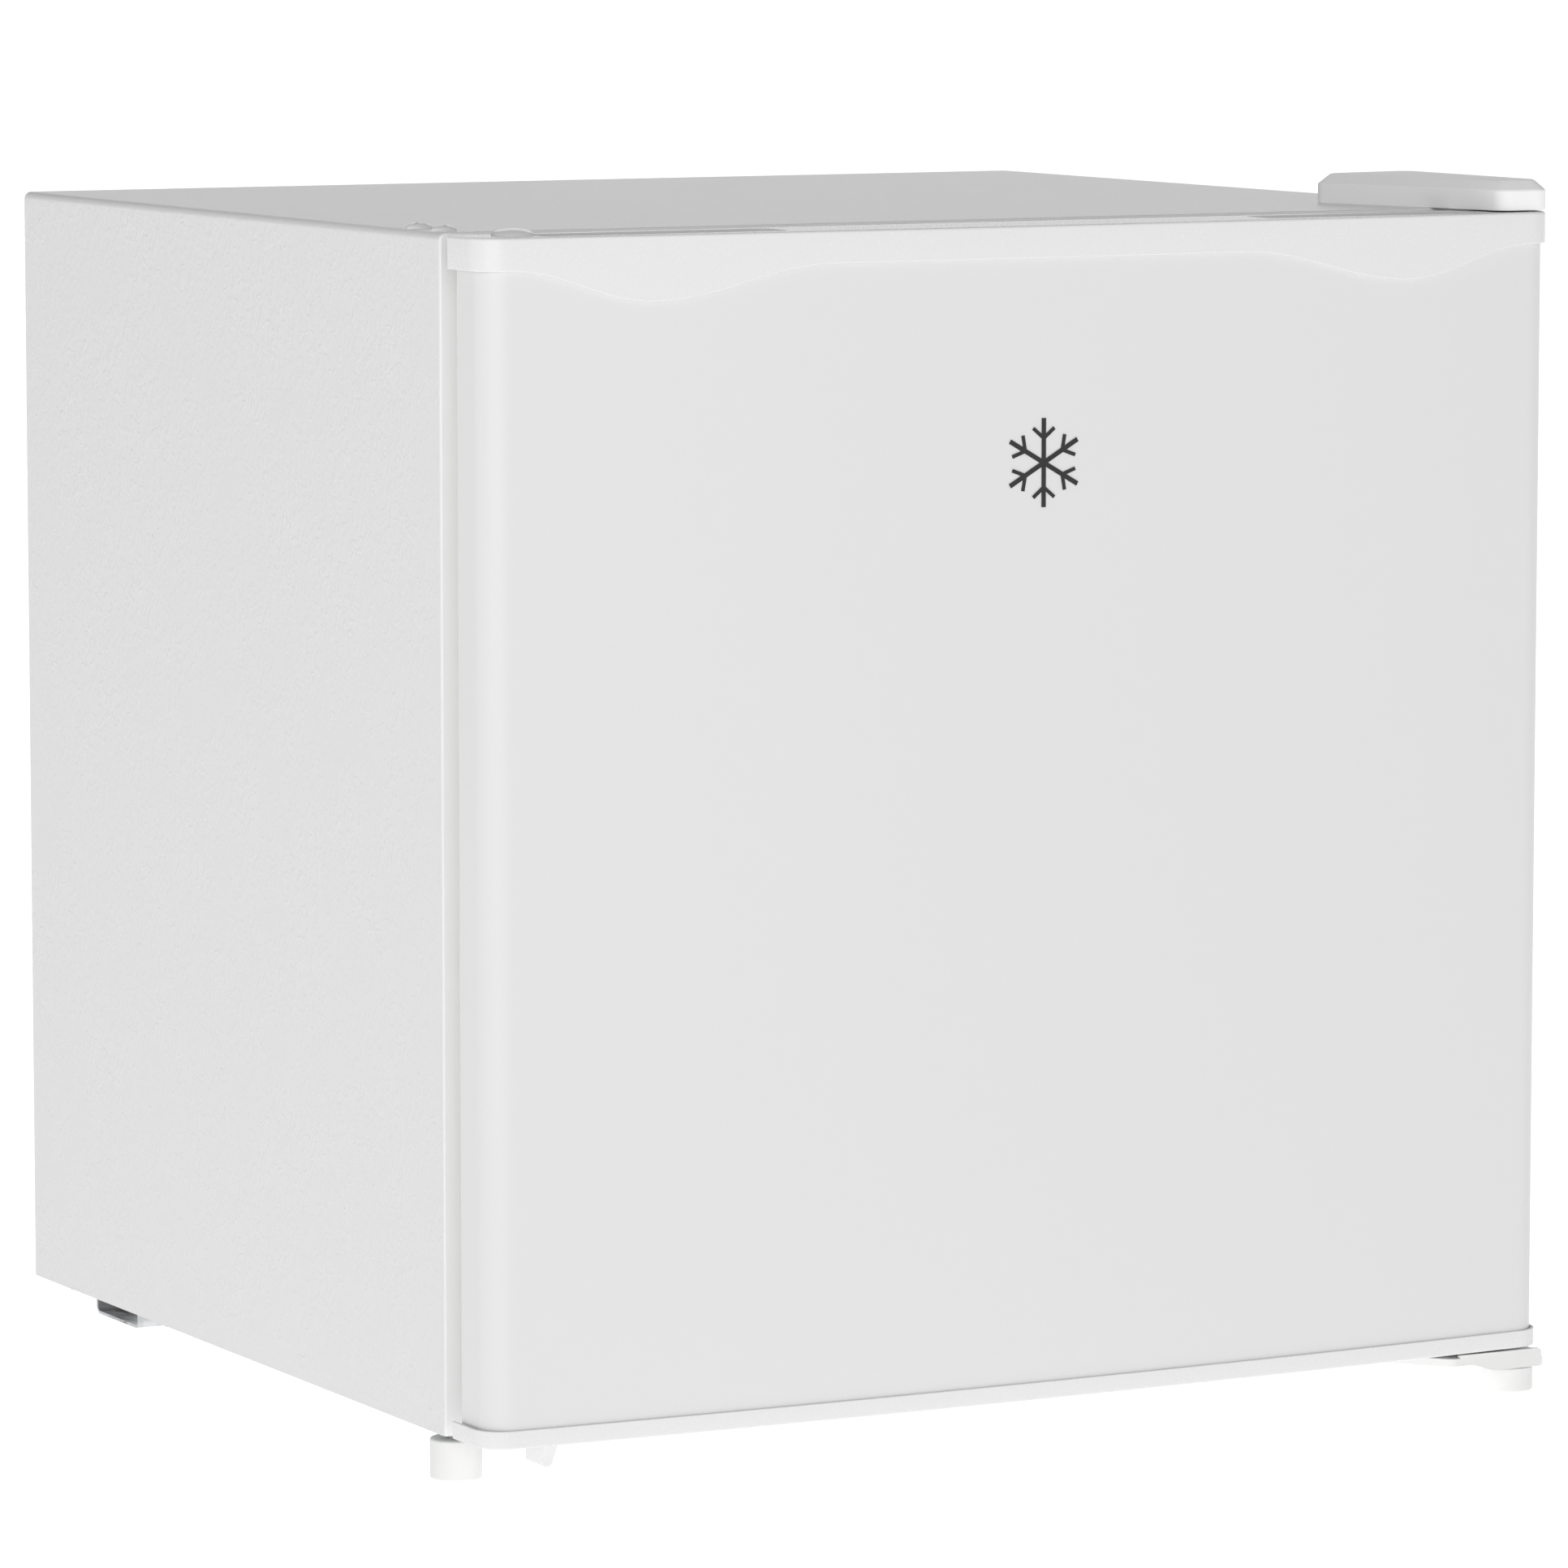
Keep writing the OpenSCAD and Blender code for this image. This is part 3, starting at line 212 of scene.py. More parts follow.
def loft(shape, rings, closed=True, caps=True, loop=False):
    """Faces between rows of points. closed joins each row's ends; loop joins the last row to the first."""
    rows = [[shape.verts.new(p) for p in ring] for ring in rings]
    count = len(rows[0])
    for a, b in zip(rows, rows[1:] + rows[:1] if loop else rows[1:]):
        for i in range(count if closed else count - 1):
            shape.faces.new((a[i], a[(i + 1) % count], b[(i + 1) % count], b[i]))
    if loop and not closed:
        shape.faces.new([row[0] for row in rows])
        shape.faces.new([row[-1] for row in rows])
    elif caps and not loop:
        shape.faces.new(rows[0])
        shape.faces.new(rows[-1])
    return rows


def close_up(shape, name):
    """A bmesh as a mesh with its doubles merged and its faces turned outwards."""
    bmesh.ops.remove_doubles(shape, verts=shape.verts, dist=1e-6)
    bmesh.ops.recalc_face_normals(shape, faces=shape.faces)
    mesh = bpy.data.meshes.new(name)
    shape.to_mesh(mesh)
    shape.free()
    return mesh


def baked(thing):
    """The plain mesh that an object's modifiers make."""
    bpy.context.view_layer.update()
    return bpy.data.meshes.new_from_object(thing.evaluated_get(bpy.context.evaluated_depsgraph_get()))


def carve(piece, joined, cut):
    """Has other shapes joined to a piece, then cut from it; returns the objects that stand for them."""
    tools = []
    for shape, work in [(shape, "UNION") for shape in joined] + [(shape, "DIFFERENCE") for shape in cut]:
        tools.append(put("tool", close_up(shape, "tool")))
        boolean = piece.modifiers.new("join_or_cut", "BOOLEAN")
        boolean.object = tools[-1]
        boolean.operation = work
        boolean.solver = "EXACT"
    return tools


def settle(name, shape, finishes, body, nodes, edge=0, smooth=34, plus=(), minus=()):
    """Makes a finished piece of a shape: cuts, rounded edges, smooth shading, then its body and CAD nodes."""
    mesh = close_up(shape, name) if isinstance(shape, bmesh.types.BMesh) else shape
    piece = put(name, mesh)
    for finish in finishes if isinstance(finishes, (list, tuple)) else [finishes]:
        mesh.materials.append(finish)
    tools = carve(piece, plus, minus)
    if edge:
        bevel = piece.modifiers.new("edge", "BEVEL")
        bevel.width = edge
        bevel.segments = 3
        bevel.limit_method = "ANGLE"
        bevel.angle_limit = math.radians(smooth)
        bevel.harden_normals = True
    if edge or tools:
        piece.data = baked(piece)
        piece.modifiers.clear()
        piece.data.name = name
    for tool in tools:
        bpy.data.objects.remove(tool)
    piece.data.shade_smooth()
    piece.data.set_sharp_from_angle(angle=math.radians(smooth))
    flatten = piece.modifiers.new("flatten", "WEIGHTED_NORMAL")
    flatten.keep_sharp = True
    piece.data = baked(piece)
    piece.modifiers.clear()
    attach(piece, body)
    if nodes:
        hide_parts(*nodes)
    return piece


wrap_lo, wrap_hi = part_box("outer_shell")
sheet = 0.8 * mm
fold = 1.1 * mm
flange = 30 * mm
half_w = wrap_hi.x
y_flange = wrap_lo.y
y_back = wrap_hi.y
z_bot = wrap_lo.z
z_top = wrap_hi.z


def wrap_row(inset, y):
    """The wrap's outline seen from the front: up the left side, over the top and down the right."""
    r = max(3 * mm - inset, 0.4 * mm)
    x, top = half_w - inset, z_top - inset
    bend = [(r * math.cos(a), r * math.sin(a)) for a in (math.radians(90 * i / 5) for i in range(6))]
    left = [(-x + r - c, y, top - r + s) for c, s in bend]
    right = [(x - r + c, y, top - r + s) for c, s in reversed(bend)]
    return [(-x, y, z_bot)] + left + right + [(x, y, z_bot)]


steel_wrap = bmesh.new()
turn = [math.radians(90 * i / 4) for i in range(5)]
rows = loft(steel_wrap, [wrap_row(0, y_back)]
            + [wrap_row(fold * (1 - math.cos(a)), y_flange + fold * (1 - math.sin(a))) for a in turn]
            + [wrap_row(flange, y_flange), wrap_row(flange, y_flange + sheet),
               wrap_row(fold, y_flange + sheet),
               wrap_row(sheet, y_flange + fold), wrap_row(sheet, y_back)], closed=False, loop=True)
for face in steel_wrap.faces:
    face.material_index = int(face.calc_center_median().y < y_flange + fold * 0.3)
stucco = embossed_paint()
# The flange is the same prepainted steel as the wrap, but painted smooth and whiter. The extra white is a
# painted highlight for the light that the strip in the door gap catches.
flange_paint_painted_highlight = flat_paint("flange_whitened_highlight_paint", "FAFAFA", 0.36)
settle("steel_wrap", steel_wrap, [stucco, flange_paint_painted_highlight], "cabinet", ["outer_shell"], smooth=50)


# ---- Back panel ----
# Flat sheet with the same stucco paint as the wrap closes the back above the compressor bay. It is dished a
# little inside its rim, and held by a row of screws along its edges.
smooth_paint = flat_paint()


def prism(outline, axis, start, end):
    """A solid of constant section: the outline's two coordinates are the other two axes, in X, Y, Z order."""
    shape = bmesh.new()
    loft(shape, [[(along, p[0], p[1]) if axis == "x" else (p[0], along,
                                                           p[1]) if axis == "y" else (p[0], p[1], along)
                  for p in outline] for along in (start, end)])
    return shape


def slab(lo, hi):
    """A plain block, to be cut or to have its edges rounded."""
    return prism([(lo[0], lo[1]), (hi[0], lo[1]), (hi[0], hi[1]), (lo[0], hi[1])], "z", lo[2], hi[2])


def rounded(corners, radii, steps=6, open_ends=False):
    """An outline or a path with a round at each corner, in two or three dimensions."""
    points = []
    count = len(corners)
    for i, corner in enumerate(corners):
        here = Vector(corner)
        r = radii[i] if isinstance(radii, (list, tuple)) else radii
        if r <= 0 or (open_ends and i in (0, count - 1)):
            points.append(here)
            continue
        before = (Vector(corners[i - 1]) - here).normalized()
        after = (Vector(corners[(i + 1) % count]) - here).normalized()
        half = before.angle(after) / 2
        centre = here + (before + after).normalized() * (r / math.sin(half))
        first = here + before * (r / math.tan(half)) - centre
        last = here + after * (r / math.tan(half)) - centre
        sweep = math.pi - 2 * half
        for k in range(steps + 1):
            t = k / steps
            points.append(centre + (first * math.sin(sweep * (1 - t))
                                    + last * math.sin(sweep * t)) / math.sin(sweep))
    return points


def oblong(x0, y0, x1, y1, radii, steps=6):
    """A rectangle with rounded corners, from its low corner to its high one."""
    return rounded([(x0, y0), (x1, y0), (x1, y1), (x0, y1)], radii, steps)


back_lo, back_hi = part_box("back_panel")
rim = 14 * mm
panel = bmesh.new()


def panel_row(inset, y, r):
    """The back panel's outline that far in from its edge, its upper corners tucked into the wrap's bends."""
    top = z_top - sheet - inset
    upper_r = max(r, 2.2 * mm)
    outline = oblong(back_lo.x + inset, back_lo.z + inset, back_hi.x - inset, top, [r, r, upper_r, upper_r],
                     4)
    return [(p.x, y, p.y) for p in outline]


loft(panel, [panel_row(0, back_lo.y, 1 * mm), panel_row(0, back_hi.y - 0.2 * mm, 1 * mm),
             panel_row(0.2 * mm, back_hi.y, 1 * mm), panel_row(rim, back_hi.y, 8 * mm),
             panel_row(rim + 1.5 * mm, back_hi.y - 0.6 * mm, 9 * mm)])
settle("back_panel_sheet", panel, stucco, "cabinet", ["back_panel"], smooth=60)


# ---- Screws ----
# Pan-head screws with a cross recess, zinc plated. One head is made and set out along each row of points.
def zinc_plate():
    """Bright zinc plating: pale grey metal with a faint mottle and soft shine."""
    finish, tree, base, where = start_finish("zinc_plated_steel", "C9CBCC", 0.3, Metallic=1)
    mottle = add(tree, "ShaderNodeTexNoise", {"Vector": where, "Scale": 1 / (1.5 * mm), "Detail": 3})
    vary(tree, base, "Roughness", mottle.outputs["Fac"], 0.22, 0.42)
    vary(tree, base, "Base Color", mottle.outputs["Fac"], "BEC0C1", "D4D5D4")
    return finish


def turned(profile, centre=(0, 0, 0), steps=40, axis="z"):
    """A closed solid of revolution from (radius, height) points that start and end on the axis."""
    shape = bmesh.new()
    rings = []
    for r, h in profile:
        around = [(max(r, 1e-5) * math.cos(t), max(r, 1e-5) * math.sin(t))
                  for t in (2 * math.pi * i / steps for i in range(steps))]
        rings.append([(centre[0] + c, centre[1] + s, centre[2] + h) if axis == "z"
                      else (centre[0] + c, centre[1] + h, centre[2] + s) if axis == "y"
                      else (centre[0] + h, centre[1] + c, centre[2] + s) for c, s in around])
    loft(shape, rings)
    return shape


def in_mm(points):
    """Pairs of millimetres as metres."""
    return [(a * mm, b * mm) for a, b in points]


def peg(r, start, end, centre=(0, 0, 0), steps=40, axis="z"):
    """A plain round solid of one radius, from start to end along its axis."""
    return turned([(0, start), (r, start), (r, end), (0, end)], centre, steps, axis)


def join(shape, *others):
    """Adds the faces of other shapes to a shape."""
    for other in others:
        spare = bpy.data.meshes.new("spare")
        other.to_mesh(spare)
        other.free()
        shape.from_mesh(spare)
        bpy.data.meshes.remove(spare)
    return shape


def named_sockets(tree, result, **kinds):
    """Gives a node tree its named inputs and its one geometry output, and returns the inputs."""
    for name, kind in kinds.items():
        tree.interface.new_socket(name, in_out="INPUT", socket_type="NodeSocket" + kind)
    tree.interface.new_socket(result, in_out="OUTPUT", socket_type="NodeSocketGeometry")
    return add(tree, "NodeGroupInput").outputs


def pattern_tree():
    """Copies one object to each point, turned to face out of the sheet and spun at random about its axis."""
    tree = bpy.data.node_groups.new("set_out_in_rows", "GeometryNodeTree")
    given = named_sockets(tree, "Parts", Points="Geometry", Part="Object", Turn="Vector", Spin="Float",
                          Seed="Int", Finish="Material")
    part = add(tree, "GeometryNodeObjectInfo", {"Object": given["Part"]})
    turned_to = add(tree, "FunctionNodeEulerToRotation", {"Euler": given["Turn"]})
    copies = add(tree, "GeometryNodeInstanceOnPoints", {
        "Points": given["Points"], "Instance": part.outputs["Geometry"], "Rotation": turned_to.outputs[0]})
    spin = add(tree, "FunctionNodeRandomValue", {"Seed": given["Seed"]}, data_type="FLOAT")
    tree.links.new(given["Spin"], spin.inputs[3])
    angle = add(tree, "ShaderNodeCombineXYZ", {"Z": spin.outputs[1]})
    spin_to = add(tree, "FunctionNodeEulerToRotation", {"Euler": angle.outputs[0]})
    spun = add(tree, "GeometryNodeRotateInstances",
               {"Instances": copies.outputs[0], "Rotation": spin_to.outputs[0]})
    real = add(tree, "GeometryNodeRealizeInstances", {0: spun.outputs[0]})
    finished = add(tree, "GeometryNodeSetMaterial",
                   {"Geometry": real.outputs[0], "Material": given["Finish"]})
    add(tree, "NodeGroupOutput", {"Parts": finished.outputs[0]})
    return tree


set_out = pattern_tree()


def bake_nodes(name, mesh, tree, inputs):
    """Runs a node tree on a mesh and returns the plain mesh that it makes."""
    holder = put(name, mesh)
    nodes = holder.modifiers.new("nodes", "NODES")
    nodes.node_group = tree
    for item in tree.interface.items_tree:
        if item.item_type == "SOCKET" and item.in_out == "INPUT" and item.name in inputs:
            nodes[item.identifier] = inputs[item.name]
    made = baked(holder)
    bpy.data.objects.remove(holder)
    made.name = name
    return made


def in_rows(name, points, part, turn, finish, body, nodes=(), spin=math.pi, seed=1):
    """A piece made of copies of one part mesh at the given points."""
    rows_mesh = bpy.data.meshes.new(name)
    rows_mesh.from_pydata(points, [], [])
    pattern = put("pattern", part)
    made = bake_nodes(name, rows_mesh, set_out, {
        "Part": pattern, "Turn": turn, "Spin": spin, "Seed": seed, "Finish": finish})
    bpy.data.objects.remove(pattern)
    made.materials.clear()
    return settle(name, made, finish, body, nodes)


def cut_mesh(name, shape, *cuts):
    """A mesh of a shape less its cuts."""
    piece = put(name, close_up(shape, name))
    tools = carve(piece, (), cuts)
    made = baked(piece)
    for spent in tools + [piece]:
        bpy.data.objects.remove(spent)
    return made


zinc = zinc_plate()
head_r = 3.6 * mm
head_h = 1.7 * mm
dome = [(0, -0.4 * mm), (head_r, -0.4 * mm), (head_r, 0.4 * mm)] + [
    (head_r * math.cos(a), 0.4 * mm + (head_h - 0.4 * mm) * math.sin(a))
    for a in (math.radians(15 * i) for i in range(1, 6))] + [(0, head_h)]
slot_w = 0.9 * mm
screw_head = cut_mesh("screw_head", turned(dome, steps=24),
                      slab((-2 * mm, -slot_w / 2, 0.6 * mm), (2 * mm, slot_w / 2, 3 * mm)),
                      slab((-slot_w / 2, -2 * mm, 0.6 * mm), (slot_w / 2, 2 * mm, 3 * mm)))
edge_in = 6.5 * mm
row_xs = [x * mm for x in (-180, -60, 60, 180)]
back_mid = (back_lo.z + back_hi.z) / 2
back_points = [(x, back_hi.y, back_hi.z - edge_in) for x in row_xs]
back_points += [(s * (back_hi.x - edge_in), back_hi.y, z) for s in (-1, 1)
                for z in (back_lo.z + 20 * mm, back_mid)]
back_points += [(x, back_hi.y, back_lo.z + edge_in) for x in row_xs]
facing_back = (-math.pi / 2, 0, 0)
in_rows("back_panel_screws", back_points, screw_head, facing_back, zinc, "cabinet", seed=4)


# ---- Moulded caps of the door ----
# Two glossy ABS mouldings close the ends of the door. The top one has a wavy front edge that hangs 1 mm proud
# of the door skin, two finger scoops to pull the door by, and a spare hinge socket on the left.
def moulded_abs(name="glossy_white_abs", colour="EDEDED", gloss=0.24):
    """Injection-moulded ABS: opaque white, glossy, with the faint waviness of a large moulding."""
    finish, tree, base, where = start_finish(name, colour, gloss, Specular_IOR_Level=0.5)
    flow = add(tree, "ShaderNodeTexNoise", {"Vector": where, "Scale": 1 / (14 * mm), "Detail": 2})
    fine = add(tree, "ShaderNodeTexNoise", {"Vector": where, "Scale": 1 / (0.6 * mm), "Detail": 1})
    raise_grain(tree, base, flow.outputs["Fac"], 0.02 * mm)
    vary(tree, base, "Roughness", fine.outputs["Fac"], gloss - 0.04, gloss + 0.08)
    return finish


abs_white = moulded_abs()
cap_lo, cap_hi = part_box("top_cap")
foot_cap_lo, foot_cap_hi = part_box("bottom_cap")
skin_lo, skin_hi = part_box("door_skin")
bow = 6 * mm
cap_half = cap_hi.x
cap_rear = cap_hi.y
cap_ends = cap_lo.y + bow
corner_r = 12 * mm


def door_plan(side_in, front_in, r, rear):
    """The door seen from above: up the left side, round the corner, along the bowed front and back."""
    hw, front = cap_half - side_in, cap_ends + front_in
    left = [(-hw + r * (1 - math.cos(a)), front + r * (1 - math.sin(a)))
            for a in (math.radians(90 * i / 12) for i in range(13))]
    steps = 56
    across = [-1 + 2 * i / steps for i in range(1, steps)]
    bowed = [(t * (hw - r), front - bow * (1 - t * t)) for t in across]
    right = [(-x, y) for x, y in reversed(left)]
    return [(-hw, rear)] + left + bowed + right + [(hw, rear)]


plain_band = 12.5 * mm
dip = 12.5 * mm
dip_x = cap_half - 70 * mm
dip_in = 75 * mm
dip_out = 58 * mm


def band(x):
    """How far the top cap hangs down at x: a plain band with two smooth dips."""
    t = (dip_x - abs(x)) / dip_in if abs(x) < dip_x else (abs(x) - dip_x) / dip_out
    return plain_band + (dip * (1 + math.cos(math.pi * t)) / 2 if t < 1 else 0)


def cap_shell(levels):
    """A cap from (inset, height at x) levels, inside first: wall, rounded edges, plate and its rear edge."""
    shape = bmesh.new()
    level_rows = [[(x, y, height(x)) for x, y in door_plan(inset, inset, corner_r - inset, cap_rear)]
                  for inset, height in levels]
    made = loft(shape, level_rows, closed=False, caps=False)
    shape.faces.new(made[0])
    shape.faces.new(made[-1])
    shape.faces.new((made[0][0], made[0][-1], made[-1][-1], made[-1][0]))
    shape.faces.new([row[0] for row in made])
    shape.faces.new([row[-1] for row in made])
    return shape


def block(lo, hi, r, rounds="z"):
    """A block with its four edges along one axis rounded."""
    pick = {"z": (0, 1, 2), "y": (0, 2, 1), "x": (1, 2, 0)}[rounds]
    a, b, c = pick
    return prism(oblong(lo[a], lo[b], hi[a], hi[b], r), rounds, lo[c], hi[c])


wall = 0.95 * mm
plate = 2 * mm
lip_r = 0.45 * mm
top_r = 1.1 * mm
z_cap = cap_hi.z
top_cap = cap_shell([
    (wall, lambda x: z_cap - plate), (wall, lambda x: z_cap - band(x)), (lip_r, lambda x: z_cap - band(x)),
    (0.13 * mm, lambda x: z_cap - band(x) + 0.13 * mm), (0, lambda x: z_cap - band(x) + lip_r),
    (0, lambda x: z_cap - top_r), (0.33 * mm, lambda x: z_cap - 0.33 * mm), (top_r, lambda x: z_cap)])
hinge_x = cap_half - 14 * mm
hinge_y = y_flange - 17.5 * mm
scoop_x1 = cap_half - 27 * mm
scoop_x0 = scoop_x1 - 103 * mm
scoop_y = (y_flange - 35 * mm, y_flange - 15 * mm)
scoop_floor = z_cap - 20 * mm
skin_t = 1.5 * mm
boss_r, boss_h = 6 * mm, 13 * mm
socket_r, socket_h = 4.41 * mm, 12 * mm
additions = []
cuts = []
for side in (-1, 1):
    xs = sorted((side * scoop_x0, side * scoop_x1))
    additions.append(block((xs[0] - skin_t, scoop_y[0] - skin_t, scoop_floor - skin_t),
                           (xs[1] + skin_t, scoop_y[1] + skin_t, z_cap - plate / 2), 5 * mm))
    cuts.append(block((xs[0], scoop_y[0], scoop_floor), (xs[1], scoop_y[1], z_cap + 5 * mm), 4 * mm))
additions.append(peg(boss_r, -boss_h, -plate / 2,
                        (hinge_x, hinge_y, z_cap)))
cuts.append(peg(socket_r, -socket_h, 3 * mm, (hinge_x, hinge_y, z_cap)))
settle("top_cap_moulding", top_cap, abs_white, "door", ["top_cap"],
       edge=0.5 * mm, smooth=40, plus=additions, minus=cuts)

z_low = foot_cap_lo.z
low_band = 7 * mm
low_cap = cap_shell([
    (wall, lambda x: z_low + plate), (wall, lambda x: z_low + low_band), (lip_r, lambda x: z_low + low_band),
    (0.13 * mm, lambda x: z_low + low_band - 0.13 * mm), (0, lambda x: z_low + low_band - lip_r),
    (0, lambda x: z_low + 0.9 * mm), (0.27 * mm, lambda x: z_low + 0.27 * mm), (0.9 * mm, lambda x: z_low)])
low_boss = [block((s * hinge_x - 8 * mm, cap_rear - 2 * mm, z_low + 1 * mm),
                  (s * hinge_x + 8 * mm, cap_rear, foot_cap_hi.z), 1.5 * mm, "y") for s in (-1, 1)]
low_boss.append(peg(boss_r, 1 * mm, boss_h, (hinge_x, hinge_y, z_low)))
settle("bottom_cap_moulding", low_cap, abs_white, "door", ["bottom_cap"],
       smooth=40, plus=low_boss, minus=[peg(socket_r, -1 * mm, socket_h, (hinge_x, hinge_y, z_low))])


# ---- Door skin ----
# One sheet of smooth prepainted steel, bowed across the front, rounded at the corners and folded in behind.
def skin_outline(inset):
    """The skin's section: inside the caps, with a flange folded in at the rear."""
    turn_in = skin_hi.x - 13 * mm
    rear = skin_hi.y - inset
    plan = door_plan(2 * mm + inset, 1 * mm + inset, corner_r - 1 * mm - inset, rear)
    return [(-turn_in, rear)] + plan + [(turn_in, rear)]


skin_section = skin_outline(0) + list(reversed(skin_outline(sheet)))
settle("door_skin_sheet", prism(skin_section, "z", skin_lo.z, skin_hi.z), smooth_paint,
       "door", ["door_skin"], smooth=30)


# ---- Hinge cover, screw caps and socket plug ----
# Small glossy ABS mouldings on the top: a snap-on cover with a chamfered rim over the hinge, two domed caps
# over spare screw holes, and a plug in the door's spare hinge socket.
cover_lo, cover_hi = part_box("hinge_cover")
cover_rim = 8 * mm
cover_wall = 1.6 * mm


def cover_ring(g, z):
    """The hinge cover's outline seen from above, shrunk by g."""
    corners = [(half_w - g, cover_lo.y + g), (half_w - g, cover_hi.y - g),
               (half_w - 52 * mm + 1.2 * g, cover_hi.y - 7 * mm - g),
               (half_w - 23 * mm + 0.8 * g, cover_lo.y + g)]
    radii = [7 * mm - g / 2, 10 * mm - 0.8 * g, 6 * mm - g / 2, 7 * mm - g / 2]
    return [(p.x, p.y, z) for p in rounded(corners, radii, 8)]


cover = bmesh.new()
z0, z1 = cover_lo.z, cover_hi.z
loft(cover, [cover_ring(5 * mm, z1 - cover_wall), cover_ring(cover_wall, z0 + cover_rim),
             cover_ring(cover_wall, z0),
             cover_ring(0.25 * mm, z0), cover_ring(0, z0 + 0.25 * mm),
             cover_ring(0, z0 + cover_rim - 0.5 * mm),
             cover_ring(0.25 * mm, z0 + cover_rim + 0.1 * mm), cover_ring(3.4 * mm, z1 - 0.75 * mm),
             cover_ring(4.1 * mm, z1 - 0.22 * mm), cover_ring(5 * mm, z1 - 0.04 * mm),
             cover_ring(7 * mm, z1)])
# Moulded duller than the caps of the door. Its pure white is painted light: the extra white lifts the shade
# that falls on the cover's faces.
cover_white_lifting_shade = moulded_abs("abs_cover_whitened_against_shade", "FFFFFF", 0.5)
settle("hinge_cover_moulding", cover, cover_white_lifting_shade, "cabinet", ["hinge_cover"], smooth=18)

cap_r = 5 * mm
cap_rise = 2.4 * mm
cap_arc = [(cap_r * math.cos(a), cap_rise * math.sin(a)) for a in (math.radians(9 * i) for i in range(10))]
cap_dome = turned([(0, -0.4 * mm), (cap_r, -0.4 * mm)] + cap_arc + [(0, cap_rise)])
dome_cap = cut_mesh("dome_cap", cap_dome,
                    slab((-3.3 * mm, -0.5 * mm, 1.7 * mm), (3.3 * mm, 0.5 * mm, 4 * mm)),
                    slab((-0.5 * mm, -3.3 * mm, 1.7 * mm), (0.5 * mm, 3.3 * mm, 4 * mm)))
cap_points = [(7 * mm - half_w, y_flange + y, z_top) for y in (10.6 * mm, 32 * mm)]
in_rows("screw_cap_mouldings", cap_points, dome_cap, (0, 0, 0), abs_white, "cabinet", ["screw_caps"], seed=3)

plug_lo, plug_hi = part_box("socket_plug")
plug_r = (plug_hi.x - plug_lo.x) / 2
plug_rise = plug_hi.z - z_cap
plug_arc = [(plug_r * math.cos(a), plug_rise * math.sin(a)) for a in (math.radians(10 * i) for i in range(9))]
plug = turned([(0, -0.3 * mm), (plug_r - 0.1 * mm, -0.3 * mm)] + plug_arc + [(0, plug_rise)],
              ((plug_lo.x + plug_hi.x) / 2, (plug_lo.y + plug_hi.y) / 2, z_cap), steps=56)
settle("socket_plug_moulding", plug, abs_white, "door", ["socket_plug"], smooth=50)


# ---- Hinges ----
# The lower hinge is a bent and painted steel bracket with a folded lip round its front; the upper one is a
# zinc-plated plate under the cover. Both carry a steel pin, and are held by countersunk and pan-head screws.
low_lo, low_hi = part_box("lower_hinge")
plate_lo = 13.5 * mm
plate_hi = plate_lo + 3 * mm
lip = 1.6 * mm
bracket_plan = rounded([(half_w, low_lo.y), (half_w, y_flange + 22 * mm),
                        (half_w - 78 * mm, y_flange + 22 * mm),
                        (half_w - 78 * mm, y_flange + 3 * mm), (half_w - 42 * mm, low_lo.y)],
                       [2 * mm, 2 * mm, 3 * mm, 6 * mm, 6 * mm])
foot_spot = (half_w - 9 * mm, y_flange - 26 * mm, 0)
lip_face = rounded([(half_w - 40 * mm, z_bot - 0.2 * mm), (half_w - 36 * mm, plate_lo + 1 * mm),
                    (half_w - 23 * mm, low_lo.z),
                    (half_w - 0.5 * mm, low_lo.z), (half_w - 0.5 * mm, z_bot - 0.2 * mm)],
                   [0.5 * mm, 5 * mm, 5 * mm, 1 * mm, 1.5 * mm])
bracket_parts = [
    block((half_w - 76 * mm, y_flange + 4 * mm, plate_hi - 0.1 * mm),
          (half_w - 2 * mm, y_flange + 20 * mm, z_bot), 2 * mm),
    prism(lip_face, "y", low_lo.y, low_lo.y + lip),
    prism(rounded([(low_lo.y, plate_lo + 1 * mm), (low_lo.y, low_lo.z), (y_flange - 10 * mm, low_lo.z),
                   (y_flange - 4 * mm, plate_lo + 1 * mm)], [0.1 * mm, 1 * mm, 3 * mm, 1 * mm]), "x",
          half_w - lip, half_w),
    peg(6.5 * mm, low_lo.z, plate_hi - 1 * mm, foot_spot),
    peg(3 * mm, plate_lo + 1 * mm, low_hi.z, (hinge_x, hinge_y, 0))]
settle("lower_hinge_bracket", prism(bracket_plan, "z", plate_lo, plate_hi),
       flat_paint("bracket_paint", "EDEDEC", 0.35), "cabinet", ["lower_hinge"], edge=0.45 * mm, smooth=40,
       plus=bracket_parts, minus=[peg(4.05 * mm, 9 * mm, 17 * mm, foot_spot)])


def keep(finish, *nodes):
    """Gives CAD parts that are already full detail their finish and smooth shading."""
    for node in nodes:
        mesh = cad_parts[node].data
        mesh.materials.clear()
        mesh.materials.append(finish)
        mesh.shade_smooth()
        mesh.set_sharp_from_angle(angle=math.radians(34))


keep(zinc, "top_hinge", "top_hinge_screws", "lower_hinge_screws")


def nylon(name="natural_nylon", colour="E9E4D3", gloss=0.35):
    """Unpigmented nylon: waxy cream, faintly see-through, with a matt moulded skin."""
    finish, tree, base, where = start_finish(name, colour, gloss, Subsurface_Weight=0.1,
                                             Subsurface_Scale=0.6 * mm)
    skin = add(tree, "ShaderNodeTexNoise", {"Vector": where, "Scale": 1 / (0.5 * mm), "Detail": 2})
    raise_grain(tree, base, skin.outputs["Fac"], 0.01 * mm)
    vary(tree, base, "Roughness", skin.outputs["Fac"], gloss - 0.06, gloss + 0.1)
    return finish


keep(nylon(), "hinge_bushes")


